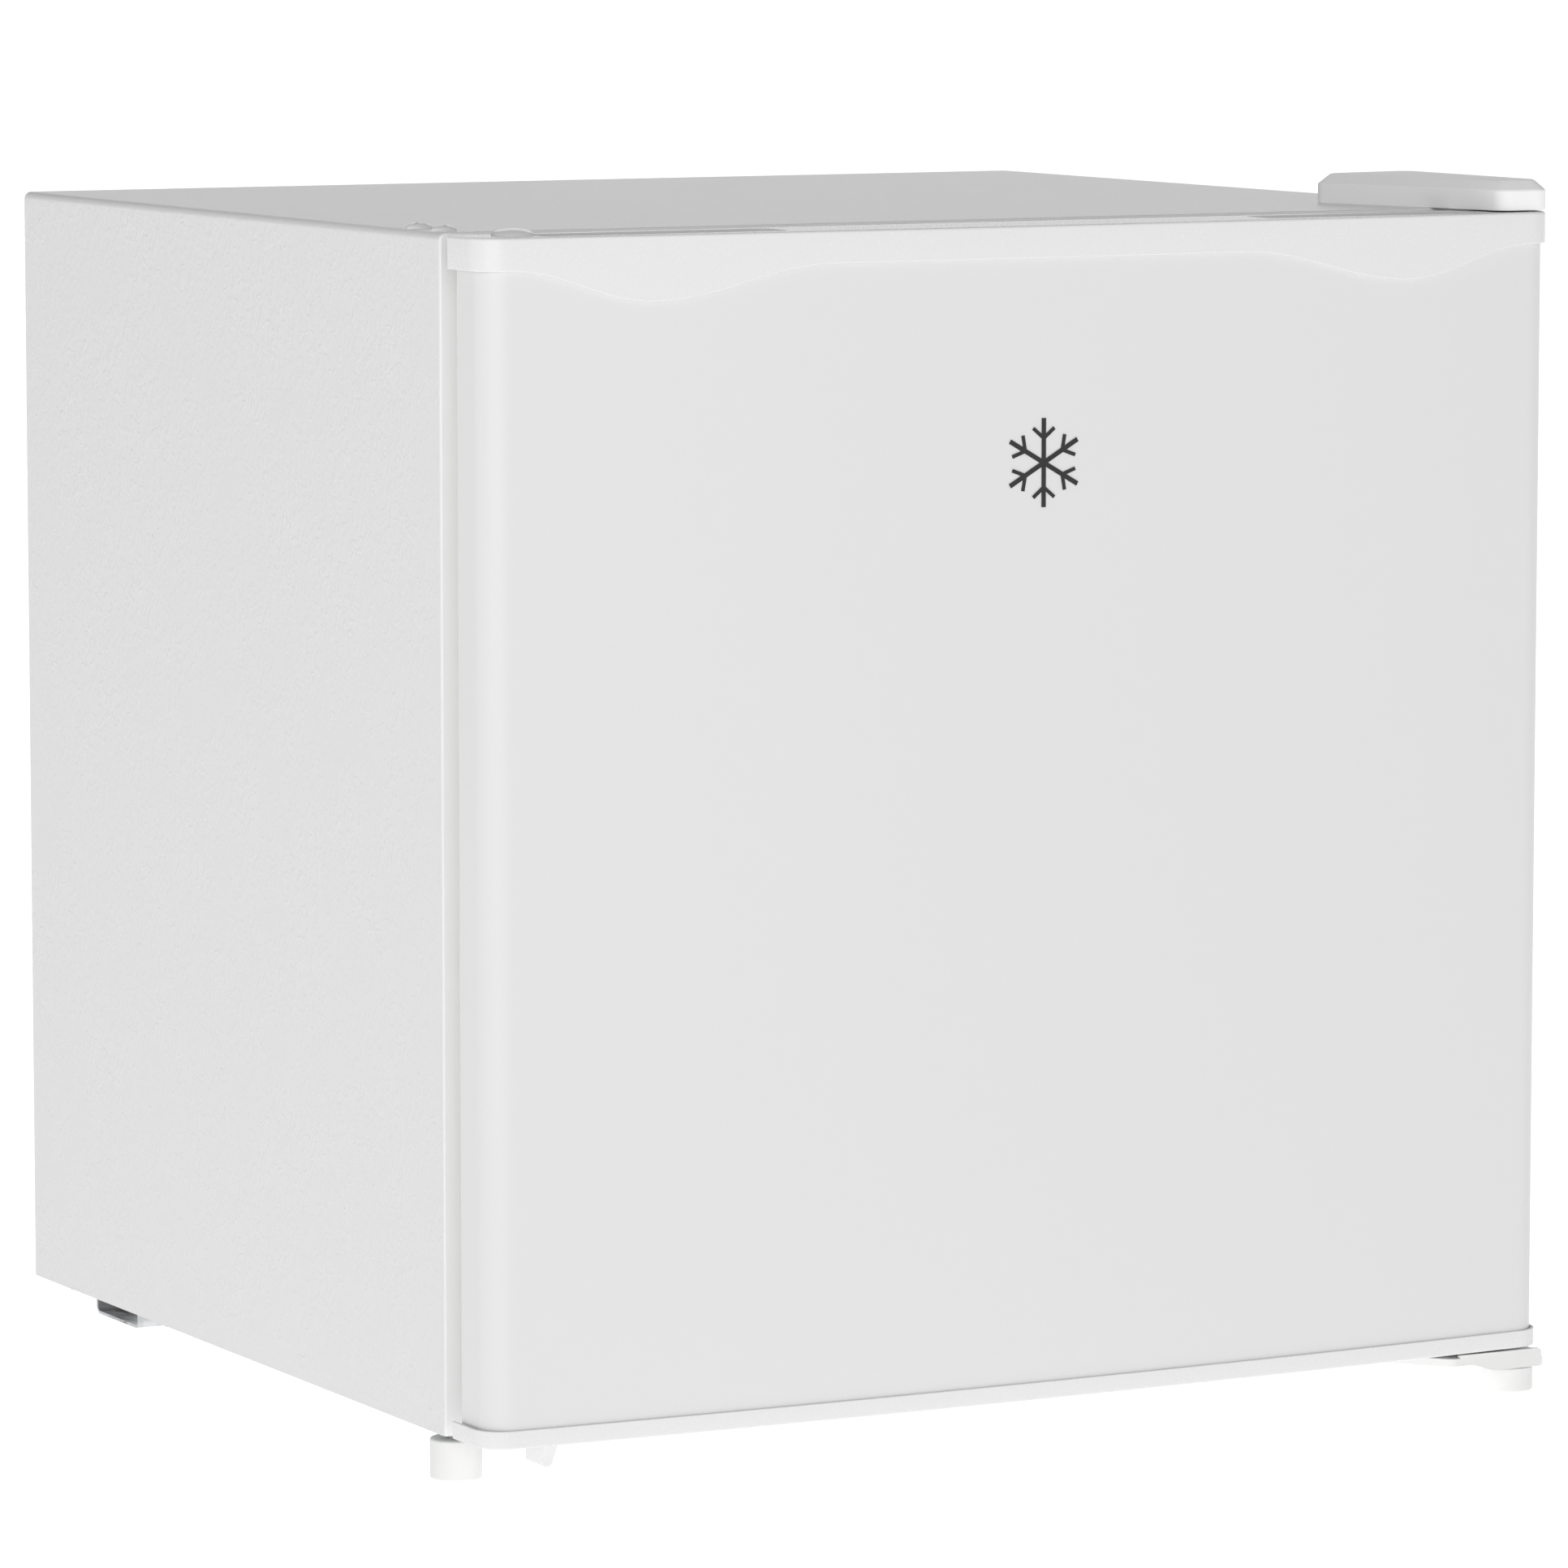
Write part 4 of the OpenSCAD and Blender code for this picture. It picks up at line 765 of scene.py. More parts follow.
# ---- Feet and door stop ----
# Round polypropylene pads on M8 studs, moulded in white, with a small round at the floor. A hollow white ABS
# block under the free end of the door stops it against the cabinet.
pp_white = nylon("white_polypropylene", "F0F0EF", 0.42)
for side in ("left", "right"):
    pad_lo, pad_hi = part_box(side + "_foot_pad")
    r, h = (pad_hi.x - pad_lo.x) / 2, pad_hi.z
    profile = [(0, 0.25 * mm), (5.5 * mm, 0.25 * mm), (6 * mm, 0), (r - 0.9 * mm, 0),
               (r - 0.45 * mm, 0.12 * mm),
               (r - 0.12 * mm, 0.45 * mm), (r, 0.9 * mm), (r, h - 0.8 * mm), (r - 0.25 * mm, h - 0.25 * mm),
               (r - 0.8 * mm, h), (4.05 * mm, h), (4.05 * mm, 4 * mm), (0, 4 * mm)]
    pad = turned(profile, ((pad_lo.x + pad_hi.x) / 2, (pad_lo.y + pad_hi.y) / 2, 0), steps=64)
    settle(side + "_foot_moulding", pad, pp_white,
           side + "_foot_grip", [side + "_foot_pad"], smooth=45)
    keep(zinc, side + "_foot_stud")

stop_lo, stop_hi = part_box("door_stop")
stop_face = rounded([(stop_lo.x, stop_hi.z), (stop_lo.x, stop_lo.z), (stop_lo.x + 3.5 * mm, stop_lo.z),
                     (stop_hi.x, stop_hi.z)],
                    [0.1 * mm, 0.8 * mm, 1.2 * mm, 0.1 * mm])
hollow = slab((stop_lo.x + 1.4 * mm, stop_lo.y + 2 * mm, stop_lo.z + 2 * mm),
              (stop_hi.x + 1 * mm, stop_hi.y - 2 * mm, stop_hi.z - 1.5 * mm))
settle("door_stop_moulding", prism(stop_face, "y", stop_lo.y, stop_hi.y), abs_white,
       "door", ["door_stop"], edge=0.4 * mm, smooth=40, minus=[hollow])


# ---- Galvanised sheet ----
# The hat-section base plate, the bottom panel and the lining of the compressor bay are bare hot-dip
# galvanised steel. The zinc shows its crystal spangle.
def galvanised():
    """Hot-dip galvanised steel: grey metal broken into flat crystals, each catching the light its own way."""
    finish, tree, base, where = start_finish("hot_dip_galvanised_steel", "C0C2C4", 0.45, Metallic=1)
    wobble = add(tree, "ShaderNodeTexNoise", {"Vector": where, "Scale": 1 / (5 * mm), "Detail": 2})
    shift = add(tree, "ShaderNodeVectorMath", {0: wobble.outputs["Color"], "Scale": 3 * mm},
                operation="SCALE")
    spot = add(tree, "ShaderNodeVectorMath", {0: where, 1: shift.outputs[0]}, operation="ADD")
    crystal = add(tree, "ShaderNodeTexVoronoi", {"Vector": spot.outputs[0], "Scale": 1 / (6 * mm)})
    tone = add(tree, "ShaderNodeSeparateColor", {0: crystal.outputs["Color"]})
    vary(tree, base, "Base Color", tone.outputs[0], "A3A5A8", "DDDFE0")
    vary(tree, base, "Roughness", tone.outputs[1], 0.36, 0.66)
    raise_grain(tree, base, tone.outputs[2], 0.02 * mm)
    return finish


def bent(path, thick, r):
    """The section of a bent sheet: a centre line with round bends, thickened to both sides."""
    line = rounded(path, r, 5, open_ends=True)
    sides = ([], [])
    for i, here in enumerate(line):
        along = (line[min(i + 1, len(line) - 1)] - line[max(i - 1, 0)]).normalized()
        out = Vector((-along.y, along.x)) * thick / 2
        sides[0].append(here + out)
        sides[1].append(here - out)
    return sides[0] + sides[1][::-1]


zinc_spangle = galvanised()
base_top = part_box("base_plate")[1].z
hat_t = 1.2 * mm
plate_x = half_w - 16 * mm
hat_top = z_bot - hat_t / 2
tip = z_bot - 7.5 * mm
well = 5 * mm + hat_t / 2
hat = [(y_back - y, z) for y, z in (
    (hat_t / 2, tip), (hat_t / 2, hat_top), (28.1 * mm, hat_top), (28.1 * mm, well), (70.6 * mm, well),
    (70.6 * mm, hat_top), (100 * mm - hat_t / 2, hat_top), (100 * mm - hat_t / 2, tip))]
channel = prism(bent(hat, hat_t, 2.4 * mm), "x", -plate_x, plate_x)
pad_x = plate_x - 8 * mm
pad_half = 12 * mm
foot_x, foot_y = 150 * mm, y_back - 48.75 * mm
foot_profile = [(0, 0), (7.5 * mm, 0), (8.6 * mm, 0.6 * mm), (9 * mm, 1.6 * mm), (9 * mm, well), (0, well)]
pressings = []
for s in (-1, 1):
    for y0, y1 in ((y_back - 24 * mm, y_back - 4 * mm), (y_back - 97 * mm, y_back - 74 * mm)):
        pressings.append(block((s * pad_x - pad_half, y0, hat_top), (s * pad_x + pad_half, y1, base_top),
                               2 * mm))
for s in (-1, 1):
    pressings.append(turned(foot_profile, (s * foot_x, foot_y, 0)))
settle("base_plate_channel", channel, zinc_spangle, "cabinet", ["base_plate"],
       edge=0.25 * mm, smooth=40, plus=pressings)
bay_lo, bay_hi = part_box("bay_panel")
bay_line = [(bay_lo.y + sheet / 2, bay_lo.z), (bay_lo.y + sheet / 2, bay_hi.z - sheet / 2),
            (bay_hi.y, bay_hi.z - sheet / 2)]
settle("bay_lining", prism(bent(bay_line, sheet, 3 * mm), "x", bay_lo.x, bay_hi.x),
       zinc_spangle, "cabinet", ["bay_panel"], smooth=40)
keep(zinc_spangle, "bottom_panel")
keep(smooth_paint, "front_rail")
keep(zinc, "base_plate_screws")


# ---- Gasket ----
# White magnetic door seal: a soft PVC bellows round the whole door, with its magnet in the front bulb.
def soft_vinyl():
    """Plasticised PVC: bright white, satin, slightly soft looking because light goes a little way in."""
    finish, tree, base, where = start_finish("plasticised_pvc", "FBFBFA", 0.42, Subsurface_Weight=0.25,
                                             Subsurface_Scale=2 * mm)
    skin = add(tree, "ShaderNodeTexNoise", {"Vector": where, "Scale": 1 / (0.8 * mm), "Detail": 2})
    raise_grain(tree, base, skin.outputs["Fac"], 0.015 * mm)
    vary(tree, base, "Roughness", skin.outputs["Fac"], 0.36, 0.5)
    return finish


seal_lo, seal_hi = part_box("gasket")


def seal_ring(inset, out):
    """A rounded rectangle round the door, that far in from the seal's edge and out from the flange."""
    outline = oblong(seal_lo.x + inset, seal_lo.z + inset, seal_hi.x - inset, seal_hi.z - inset, 0.3 * mm, 1)
    return [(p.x, y_flange - out, p.y) for p in outline]


bellows = in_mm([(4, 11.5), (1.7, 9.6), (1.5, 8.8), (3.6, 7.2), (3.8, 6.6), (0.6, 5.2), (0, 4.2), (0, 1.1),
                 (0.6, 0.3), (13.4, 0.3),
           (14, 1.1), (14, 4.2), (13.4, 5.2), (10.2, 6.6), (10.4, 7.2), (12.5, 8.8), (12.3, 9.6), (10, 11.5)])
seal = bmesh.new()
loft(seal, [seal_ring(inset, out) for inset, out in bellows], loop=True)
vinyl = soft_vinyl()
settle("gasket_bellows", seal, vinyl, "door", ["gasket"], smooth=50)


def ferrite():
    """Bonded ferrite strip: dark brown-grey, matt, with a fine powdery speckle."""
    finish, tree, base, where = start_finish("bonded_ferrite", "33302E", 0.75)
    powder = add(tree, "ShaderNodeTexNoise", {"Vector": where, "Scale": 1 / (0.3 * mm), "Detail": 3})
    vary(tree, base, "Base Color", powder.outputs["Fac"], "2A2726", "3F3B38")
    raise_grain(tree, base, powder.outputs["Fac"], 0.02 * mm)
    return finish


keep(ferrite(), "magnet_strips")


# ---- Badge ----
# A small snowflake pad-printed on the door in black ink, following the bow of the skin.
def printed_ink():
    """Pad-printed ink: black, slightly raised, with thin spots where the paint shows grey."""
    finish, tree, base, where = start_finish("black_print_ink", "1C1C1D", 0.45)
    thin = add(tree, "ShaderNodeTexNoise", {"Vector": where, "Scale": 1 / (0.7 * mm), "Detail": 3})
    vary(tree, base, "Base Color", thin.outputs["Fac"], "151516", "2B2B2C")
    vary(tree, base, "Roughness", thin.outputs["Fac"], 0.38, 0.55)
    return finish


keep(printed_ink(), "emblem")


# ---- Inside of the door ----
# The door's liner is vacuum-formed polystyrene sheet with two hollow uprights. Clear moulded racks hang on
# lugs between them, and a chromed wire guard holds tall bottles in the lower one.
def formed_sheet():
    """Vacuum-formed high-impact polystyrene: glossy white, gently uneven where it was drawn to the mould."""
    gloss = 0.16
    finish, tree, base, where = start_finish("glossy_hips_sheet", "F3F3F1", gloss)
    drawn = add(tree, "ShaderNodeTexNoise", {"Vector": where, "Scale": 1 / (40 * mm), "Detail": 2})
    fine = add(tree, "ShaderNodeTexNoise", {"Vector": where, "Scale": 1 / (1.2 * mm), "Detail": 2})
    raise_grain(tree, base, drawn.outputs["Fac"], 0.12 * mm)
    vary(tree, base, "Roughness", fine.outputs["Fac"], gloss - 0.05, gloss + 0.09)
    return finish


hips = formed_sheet()
face_lo, face_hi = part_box("door_liner")
liner_t = 1.5 * mm
face_y = y_flange - 11.5 * mm
notch_in = 7 * mm
dike_x = (168 * mm, 186 * mm)
dike_z = (60 * mm, 284 * mm)
rack_lift = {"upper": 246 * mm, "lower": 66 * mm}
liner_extra, liner_cuts = [], []
for s in (-1, 1):
    x0, x1 = sorted((s * dike_x[0], s * dike_x[1]))
    for level, pile in ((0, liner_extra), (liner_t, liner_cuts)):
        upright = bmesh.new()
        rows = []
        for grow, y in ((2.5 * mm, face_y - 1 * mm), (2.5 * mm, face_y), (0.8 * mm, face_y + 0.9 * mm),
                        (0, face_y + 3 * mm),
                        (0, face_hi.y - 4 * mm), (0.6 * mm, face_hi.y - 1.8 * mm),
                        (2 * mm, face_hi.y - 0.5 * mm), (4 * mm, face_hi.y)):
            shrink = level + (grow if y > face_y + 4 * mm else -grow)
            ring = rounded([(x0 + shrink, dike_z[0] + shrink), (x1 - shrink, dike_z[0] + shrink),
                            (x1 - shrink, dike_z[1] - shrink), (x0 + shrink, dike_z[1] - shrink)],
                           3.5 * mm if shrink < 4 * mm else 2 * mm)
            rows.append([(p.x, y - (level * 1.4 if level else 0), p.y) for p in ring])
        loft(upright, rows)
        pile.append(upright)
    for z in rack_lift.values():
        lug = sorted((s * (dike_x[0] - 5 * mm), s * (dike_x[0] + 0.5 * mm)))
        liner_extra.append(block((lug[0], y_flange - 2 * mm, z + 6 * mm),
                                 (lug[1], y_flange + 10 * mm, z + 12 * mm), 1.5 * mm, "x"))
    for z0, z1 in ((face_hi.z - 11 * mm, face_hi.z + 1 * mm), (face_lo.z - 1 * mm, face_lo.z + 12 * mm)):
        liner_cuts.append(slab((s * hinge_x - notch_in, face_y - 5 * mm, z0),
                               (s * hinge_x + notch_in, y_flange, z1)))
face_plate = slab((face_lo.x, y_flange - 13 * mm, face_lo.z), (face_hi.x, face_y, face_hi.z))
settle("door_liner_sheet", face_plate, hips, "door", ["door_liner"], smooth=40,
       plus=liner_extra, minus=liner_cuts)


def foamed():
    """Rigid polyurethane foam: pale yellow, matt, with fine cells and a skin where it met the sheet."""
    finish, tree, base, where = start_finish("rigid_polyurethane_foam", "E3D2A4", 0.9)
    cells = add(tree, "ShaderNodeTexVoronoi", {"Vector": where, "Scale": 1 / (0.9 * mm)})
    tone = add(tree, "ShaderNodeTexNoise", {"Vector": where, "Scale": 1 / (30 * mm), "Detail": 3})
    raise_grain(tree, base, cells.outputs["Distance"], 0.1 * mm)
    vary(tree, base, "Base Color", tone.outputs["Fac"], "DCC892", "E9DBB4")
    return finish


keep(foamed(), "door_foam", "insulation_foam")


def clear_styrene():
    """Crystal polystyrene: clear and glossy with a cool tint, with faint flow marks from the gate."""
    finish, tree, base, where = start_finish("clear_polystyrene", "F2FAFC", 0.06, Transmission_Weight=1.0,
                                             IOR=1.59)
    flow = add(tree, "ShaderNodeTexNoise",
               {"Vector": where, "Scale": 1 / (25 * mm), "Detail": 2, "Distortion": 1.5})
    raise_grain(tree, base, flow.outputs["Fac"], 0.05 * mm)
    vary(tree, base, "Roughness", flow.outputs["Fac"], 0.03, 0.1)
    return finish


clear = clear_styrene()
rib_pitch = 18 * mm
for level in ("upper", "lower"):
    lo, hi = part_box(level + "_rack")
    half = dike_x[0] - 6 * mm
    wall_t = 2 * mm
    extra = [prism(oblong(lo.y + 0.6 * mm, hi.z - 4 * mm, hi.y, hi.z, 0.6 * mm, 2),
                   "x", -half, half)]
    for s in (-1, 1):
        ear = sorted((s * (half - 0.5 * mm), s * (half + 5.2 * mm)))
        extra.append(block((ear[0], y_flange - 3 * mm, lo.z + 12.3 * mm),
                           (ear[1], y_flange + 11 * mm, lo.z + 19 * mm), 1.5 * mm, "x"))
    count = int(2 * (half - 12 * mm) / rib_pitch)
    cuts = [block((-half + wall_t, lo.y + wall_t, lo.z + wall_t),
                  (half - wall_t, hi.y - wall_t - 0.6 * mm, hi.z + 2 * mm), 3 * mm)]
    for i in range(count):
        x = (i + 0.5 - count / 2) * rib_pitch
        cuts.append(block((x - 5 * mm, hi.y - 0.6 * mm, lo.z + 6 * mm),
                          (x + 5 * mm, hi.y + 1 * mm, hi.z - 7 * mm), 2 * mm, "y"))
    bin_body = block((-half, lo.y, lo.z), (half, hi.y, hi.z), 4 * mm)
    settle(level + "_rack_moulding", bin_body, clear, level + "_door_rack",
           [level + "_rack"], edge=0.35 * mm, smooth=40, plus=extra, minus=cuts)


def chrome_plate():
    """Chrome-plated steel wire: mirror bright, with the soft waviness of drawn wire under the plating."""
    finish, tree, base, where = start_finish("chrome_plated_wire", "DADCDD", 0.09, Metallic=1)
    drawn = add(tree, "ShaderNodeTexNoise", {"Vector": where, "Scale": 1 / (6 * mm), "Detail": 2})
    raise_grain(tree, base, drawn.outputs["Fac"], 0.01 * mm)
    vary(tree, base, "Roughness", drawn.outputs["Fac"], 0.06, 0.16)
    return finish


def tube(shape, path, r, bend=0, sides=16):
    """A round bar or tube along a path, with its corners bent to a radius."""
    line = rounded(path, bend, 8, open_ends=True) if bend else [Vector(p) for p in path]
    side = None
    rings = []
    for i, here in enumerate(line):
        along = (line[min(i + 1, len(line) - 1)] - line[max(i - 1, 0)]).normalized()
        side = along.orthogonal() if side is None else side - along * side.dot(along)
        side.normalize()
        other = along.cross(side)
        rings.append([here + (side * math.cos(t) + other * math.sin(t)) * r
                      for t in (2 * math.pi * k / sides for k in range(sides))])
    loft(shape, rings)
    return shape


rail_lo, rail_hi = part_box("bottle_rail")
wire = 1.8 * mm
guard_path = [(rail_lo.x + wire, rail_lo.y + wire, rail_lo.z),
              (rail_lo.x + wire, rail_lo.y + wire, rail_hi.z - wire),
              (rail_hi.x - wire, rail_lo.y + wire, rail_hi.z - wire),
              (rail_hi.x - wire, rail_lo.y + wire, rail_lo.z)]
guard = tube(bmesh.new(), guard_path, wire, bend=10 * mm)
settle("bottle_guard", guard, chrome_plate(), "lower_door_rack", ["bottle_rail"], smooth=60)


# ---- Inner liner ----
# Food space of the cabinet: one vacuum-formed polystyrene shell with generous corner radii, a front lip under
# the flange, two moulded shelf ledges and the step over the compressor bay.
foam_t = 38 * mm
step_foam = 35 * mm
room_lo_x, room_z0, room_z1 = half_w - foam_t, z_bot + foam_t, z_top - foam_t
room_y1 = y_back - foam_t
hump_y = y_back - 135 * mm - step_foam
hump_z = z_bot + 175 * mm + step_foam
liner_y = y_flange + sheet


def room_side(grow):
    """The food space from the side, with the step at its lower back."""
    return [(liner_y, room_z0 - grow), (hump_y + grow, room_z0 - grow), (hump_y + grow, hump_z - grow),
            (room_y1 + grow, hump_z - grow), (room_y1 + grow, room_z1 + grow), (liner_y, room_z1 + grow)]


def room_shape(grow, r, start):
    """The food space as a solid with rounded corners, from just in front of its mouth."""
    shape = bmesh.new()
    rings = []
    for i in range(7):
        a = math.radians(15 * i)
        inset = r * (1 - math.sin(a))
        corners = [(start, p[1]) if p[0] <= liner_y else p for p in room_side(grow - inset)]
        rings.append(([(p.x, p.y) for p in rounded(corners, [0, r, r, r, r, 0], 5)], r * (1 - math.cos(a))))
    half = room_lo_x + grow
    loft(shape, [[(-half + edge, y, z) for y, z in outline] for outline, edge in rings]
         + [[(half - edge, y, z) for y, z in outline] for outline, edge in reversed(rings)])
    return shape


lip_lo, lip_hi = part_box("inner_liner")
outer_room = room_shape(liner_t, 11.5 * mm, liner_y)
lip_plate = slab((lip_lo.x, liner_y, lip_lo.z), (lip_hi.x, liner_y + liner_t, lip_hi.z))
inner_room = room_shape(0, 10 * mm, liner_y - 6 * mm)
settle("inner_liner_shell", outer_room, hips, "cabinet", ["inner_liner"], smooth=34,
       plus=[lip_plate],
       minus=[inner_room, peg(4 * mm, hump_z - 4 * mm, hump_z + 4 * mm, (60 * mm, room_y1 - 5 * mm, 0))])
ledge_top = 235.5 * mm
ledges = bmesh.new()
for s in (-1, 1):
    section = rounded([(s * room_lo_x, ledge_top - 6 * mm), (s * (room_lo_x - 8 * mm), ledge_top - 3.4 * mm),
                       (s * (room_lo_x - 8 * mm), ledge_top), (s * room_lo_x, ledge_top)],
                      [0, 1.5 * mm, 1 * mm, 0], 4)
    join(ledges, prism(section, "y", y_flange + 13 * mm, room_y1 - 0.3 * mm))
settle("shelf_ledges", ledges, hips, "cabinet", (), smooth=40)


# ---- Wire shelf ----
# A rod frame with a middle stay, and thin wires welded across it, all dipped in white polyethylene.
def dipped_wire():
    """Polyethylene-dipped steel wire: white, soft gloss, slightly thicker at the welds."""
    finish, tree, base, where = start_finish("polyethylene_coated_wire", "F1F1F0", 0.3)
    lumps = add(tree, "ShaderNodeTexNoise", {"Vector": where, "Scale": 1 / (4 * mm), "Detail": 2})
    raise_grain(tree, base, lumps.outputs["Fac"], 0.06 * mm)
    vary(tree, base, "Roughness", lumps.outputs["Fac"], 0.22, 0.4)
    return finish


def wires_tree():
    """Straight round wires side by side: a line swept by a circle, copied along a row."""
    tree = bpy.data.node_groups.new("parallel_wires", "GeometryNodeTree")
    given = named_sockets(tree, "Wires", Start="Vector", End="Vector", Step="Vector", Radius="Float",
                          Count="Int", Finish="Material")
    line = add(tree, "GeometryNodeCurvePrimitiveLine", {"Start": given["Start"], "End": given["End"]})
    round_bar = add(tree, "GeometryNodeCurvePrimitiveCircle", {"Radius": given["Radius"], "Resolution": 12})
    bar = add(tree, "GeometryNodeCurveToMesh", {
        "Curve": line.outputs[0], "Profile Curve": round_bar.outputs[0], "Fill Caps": True})
    row = add(tree, "GeometryNodeMeshLine", {"Count": given["Count"], "Offset": given["Step"]})
    bars = add(tree, "GeometryNodeInstanceOnPoints", {"Points": row.outputs[0], "Instance": bar.outputs[0]})
    real = add(tree, "GeometryNodeRealizeInstances", {0: bars.outputs[0]})
    finished = add(tree, "GeometryNodeSetMaterial",
                   {"Geometry": real.outputs[0], "Material": given["Finish"]})
    add(tree, "NodeGroupOutput", {"Wires": finished.outputs[0]})
    return tree


shelf_lo, shelf_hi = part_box("wire_shelf")
rod = 2.2 * mm
shelf_half = shelf_hi.x - rod
shelf_z = shelf_lo.z + rod
shelf_y = (shelf_lo.y + rod, shelf_hi.y - rod)
wire_gaps = 19
step = 2 * shelf_half / wire_gaps
coated = dipped_wire()
wires = bake_nodes("shelf_wires", bpy.data.meshes.new("shelf_wires"), wires_tree(), {
    "Start": (step - shelf_half, shelf_y[0] - 1.4 * mm, shelf_z + 2.2 * mm),
    "End": (step - shelf_half, shelf_y[1] + 1.4 * mm, shelf_z + 2.2 * mm),
    "Step": (step, 0, 0), "Radius": 1.3 * mm, "Count": wire_gaps - 1, "Finish": coated})
grid = bmesh.new()
frame_plan = oblong(-shelf_half, shelf_y[0], shelf_half, shelf_y[1], 5 * mm)
frame_line = [Vector((p.x, p.y, shelf_z)) for p in frame_plan]
frame_rings = []
for i, here in enumerate(frame_line):
    along = (frame_line[(i + 1) % len(frame_line)] - frame_line[i - 1]).normalized()
    out = Vector((along.y, -along.x, 0))
    frame_rings.append([here + out * rod * math.cos(a) + Vector((0, 0, rod * math.sin(a)))
                        for a in (2 * math.pi * k / 14 for k in range(14))])
loft(grid, frame_rings, loop=True)
stay_y = (shelf_y[0] + shelf_y[1]) / 2
tube(grid, [(-shelf_half, stay_y, shelf_z), (shelf_half, stay_y, shelf_z)], rod - 0.3 * mm)
grid.from_mesh(wires)
settle("wire_shelf_grid", grid, coated, "shelf", ["wire_shelf"], smooth=60)


# ---- Freezer box ----
# The evaporator is a roll-bond aluminium sheet, blown up along its refrigerant channels and folded into a
# box. A white frame edges its mouth, with a hinged flap; below it a clear tray on two rails catches the melt
# water.
def roll_bond():
    """Roll-bond aluminium: pale silvery grey, anodised satin, with fine rolling lines along the sheet."""
    finish, tree, base, where = start_finish("roll_bond_aluminium", "CBCDCF", 0.36, Metallic=1)
    along = add(tree, "ShaderNodeMapping", {"Vector": where, "Scale": (1, 0.02, 1)})
    lines = add(tree, "ShaderNodeTexNoise",
                {"Vector": along.outputs[0], "Scale": 1 / (0.7 * mm), "Detail": 3})
    cloud = add(tree, "ShaderNodeTexNoise", {"Vector": where, "Scale": 1 / (35 * mm), "Detail": 2})
    raise_grain(tree, base, lines.outputs["Fac"], 0.01 * mm)
    vary(tree, base, "Roughness", cloud.outputs["Fac"], 0.3, 0.46)
    vary(tree, base, "Base Color", cloud.outputs["Fac"], "C2C4C6", "D3D4D5")
    return finish


ice_lo, ice_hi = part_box("freezer_box")
ice_t = 1.5 * mm
ring_out = oblong(ice_lo.x, ice_lo.z, ice_hi.x, ice_hi.z, 6 * mm)
ring_in = oblong(ice_lo.x + ice_t, ice_lo.z + ice_t, ice_hi.x - ice_t, ice_hi.z - ice_t, 4.5 * mm)
ice_box = bmesh.new()
loft(ice_box, [[(p.x, ice_hi.y, p.y) for p in ring_out], [(p.x, ice_lo.y, p.y) for p in ring_out],
               [(p.x, ice_lo.y, p.y) for p in ring_in], [(p.x, ice_hi.y - ice_t, p.y) for p in ring_in]])
channels = []
runs = 7
for k in range(runs):
    y = ice_lo.y + (k + 0.7) * (ice_hi.y - ice_lo.y - 20 * mm) / runs
    channels.append(tube(bmesh.new(), [(ice_lo.x + 14 * mm, y, ice_lo.z + ice_t),
                                       (ice_hi.x - 14 * mm, y, ice_lo.z + ice_t)], 1.7 * mm, sides=12))
    for x in (ice_lo.x + ice_t, ice_hi.x - ice_t):
        channels.append(tube(bmesh.new(), [(x, y, ice_lo.z + 14 * mm), (x, y, ice_hi.z - 14 * mm)], 1.7 * mm,
                             sides=12))
join(ice_box, *channels)
settle("evaporator_box", ice_box, roll_bond(), "cabinet", ["freezer_box"], smooth=40)

frame_front = ice_lo.y - 4 * mm
flap_y = ice_lo.y - 7.5 * mm
flap_z = ice_hi.z - 7 * mm
satin_abs = moulded_abs("satin_white_abs", "F0F0EE", 0.26)
mouth_cuts = [block((ice_lo.x + 7 * mm, frame_front - 2 * mm, ice_lo.z + 7 * mm),
                    (ice_hi.x - 7 * mm, ice_lo.y + 2 * mm, ice_hi.z - 14 * mm), 5 * mm, "y")]
ears = [block((x, flap_y - 4 * mm, flap_z - 5 * mm), (x + 5 * mm, ice_lo.y - 1 * mm, flap_z + 5 * mm),
              3 * mm, "x")
        for x in (ice_lo.x, ice_hi.x - 5 * mm)]
mouth_cuts.append(tube(bmesh.new(),
                       [(ice_lo.x - 2 * mm, flap_y, flap_z), (ice_hi.x + 2 * mm, flap_y, flap_z)], 1.86 * mm))
mouth = block((ice_lo.x, frame_front, ice_lo.z), (ice_hi.x, ice_lo.y, ice_hi.z), 6 * mm, "y")
settle("freezer_mouth_frame", mouth, satin_abs, "cabinet", ["freezer_frame"], edge=0.5 * mm, smooth=40,
       plus=ears, minus=mouth_cuts)

flap_in = 6 * mm
flap_mid = (ice_lo.x + ice_hi.x) / 2
flap_parts = [
    tube(bmesh.new(), [(ice_lo.x + flap_in, flap_y, flap_z), (ice_hi.x - flap_in, flap_y, flap_z)], 3 * mm,
         sides=24),
    tube(bmesh.new(), [(ice_lo.x + 1 * mm, flap_y, flap_z), (ice_hi.x - 1 * mm, flap_y, flap_z)], 1.8 * mm),
    prism(rounded([(flap_y - 9 * mm, ice_lo.z + 2 * mm), (flap_y, ice_lo.z + 2 * mm),
                   (flap_y, ice_lo.z + 4 * mm), (flap_y - 7 * mm, ice_lo.z + 4 * mm),
                   (flap_y - 7 * mm, ice_lo.z + 12 * mm), (flap_y - 9 * mm, ice_lo.z + 12 * mm)],
                  [2 * mm, 0, 0, 1 * mm, 0.8 * mm, 0.8 * mm], 4),
          "x", flap_mid - 30 * mm, flap_mid + 30 * mm)]
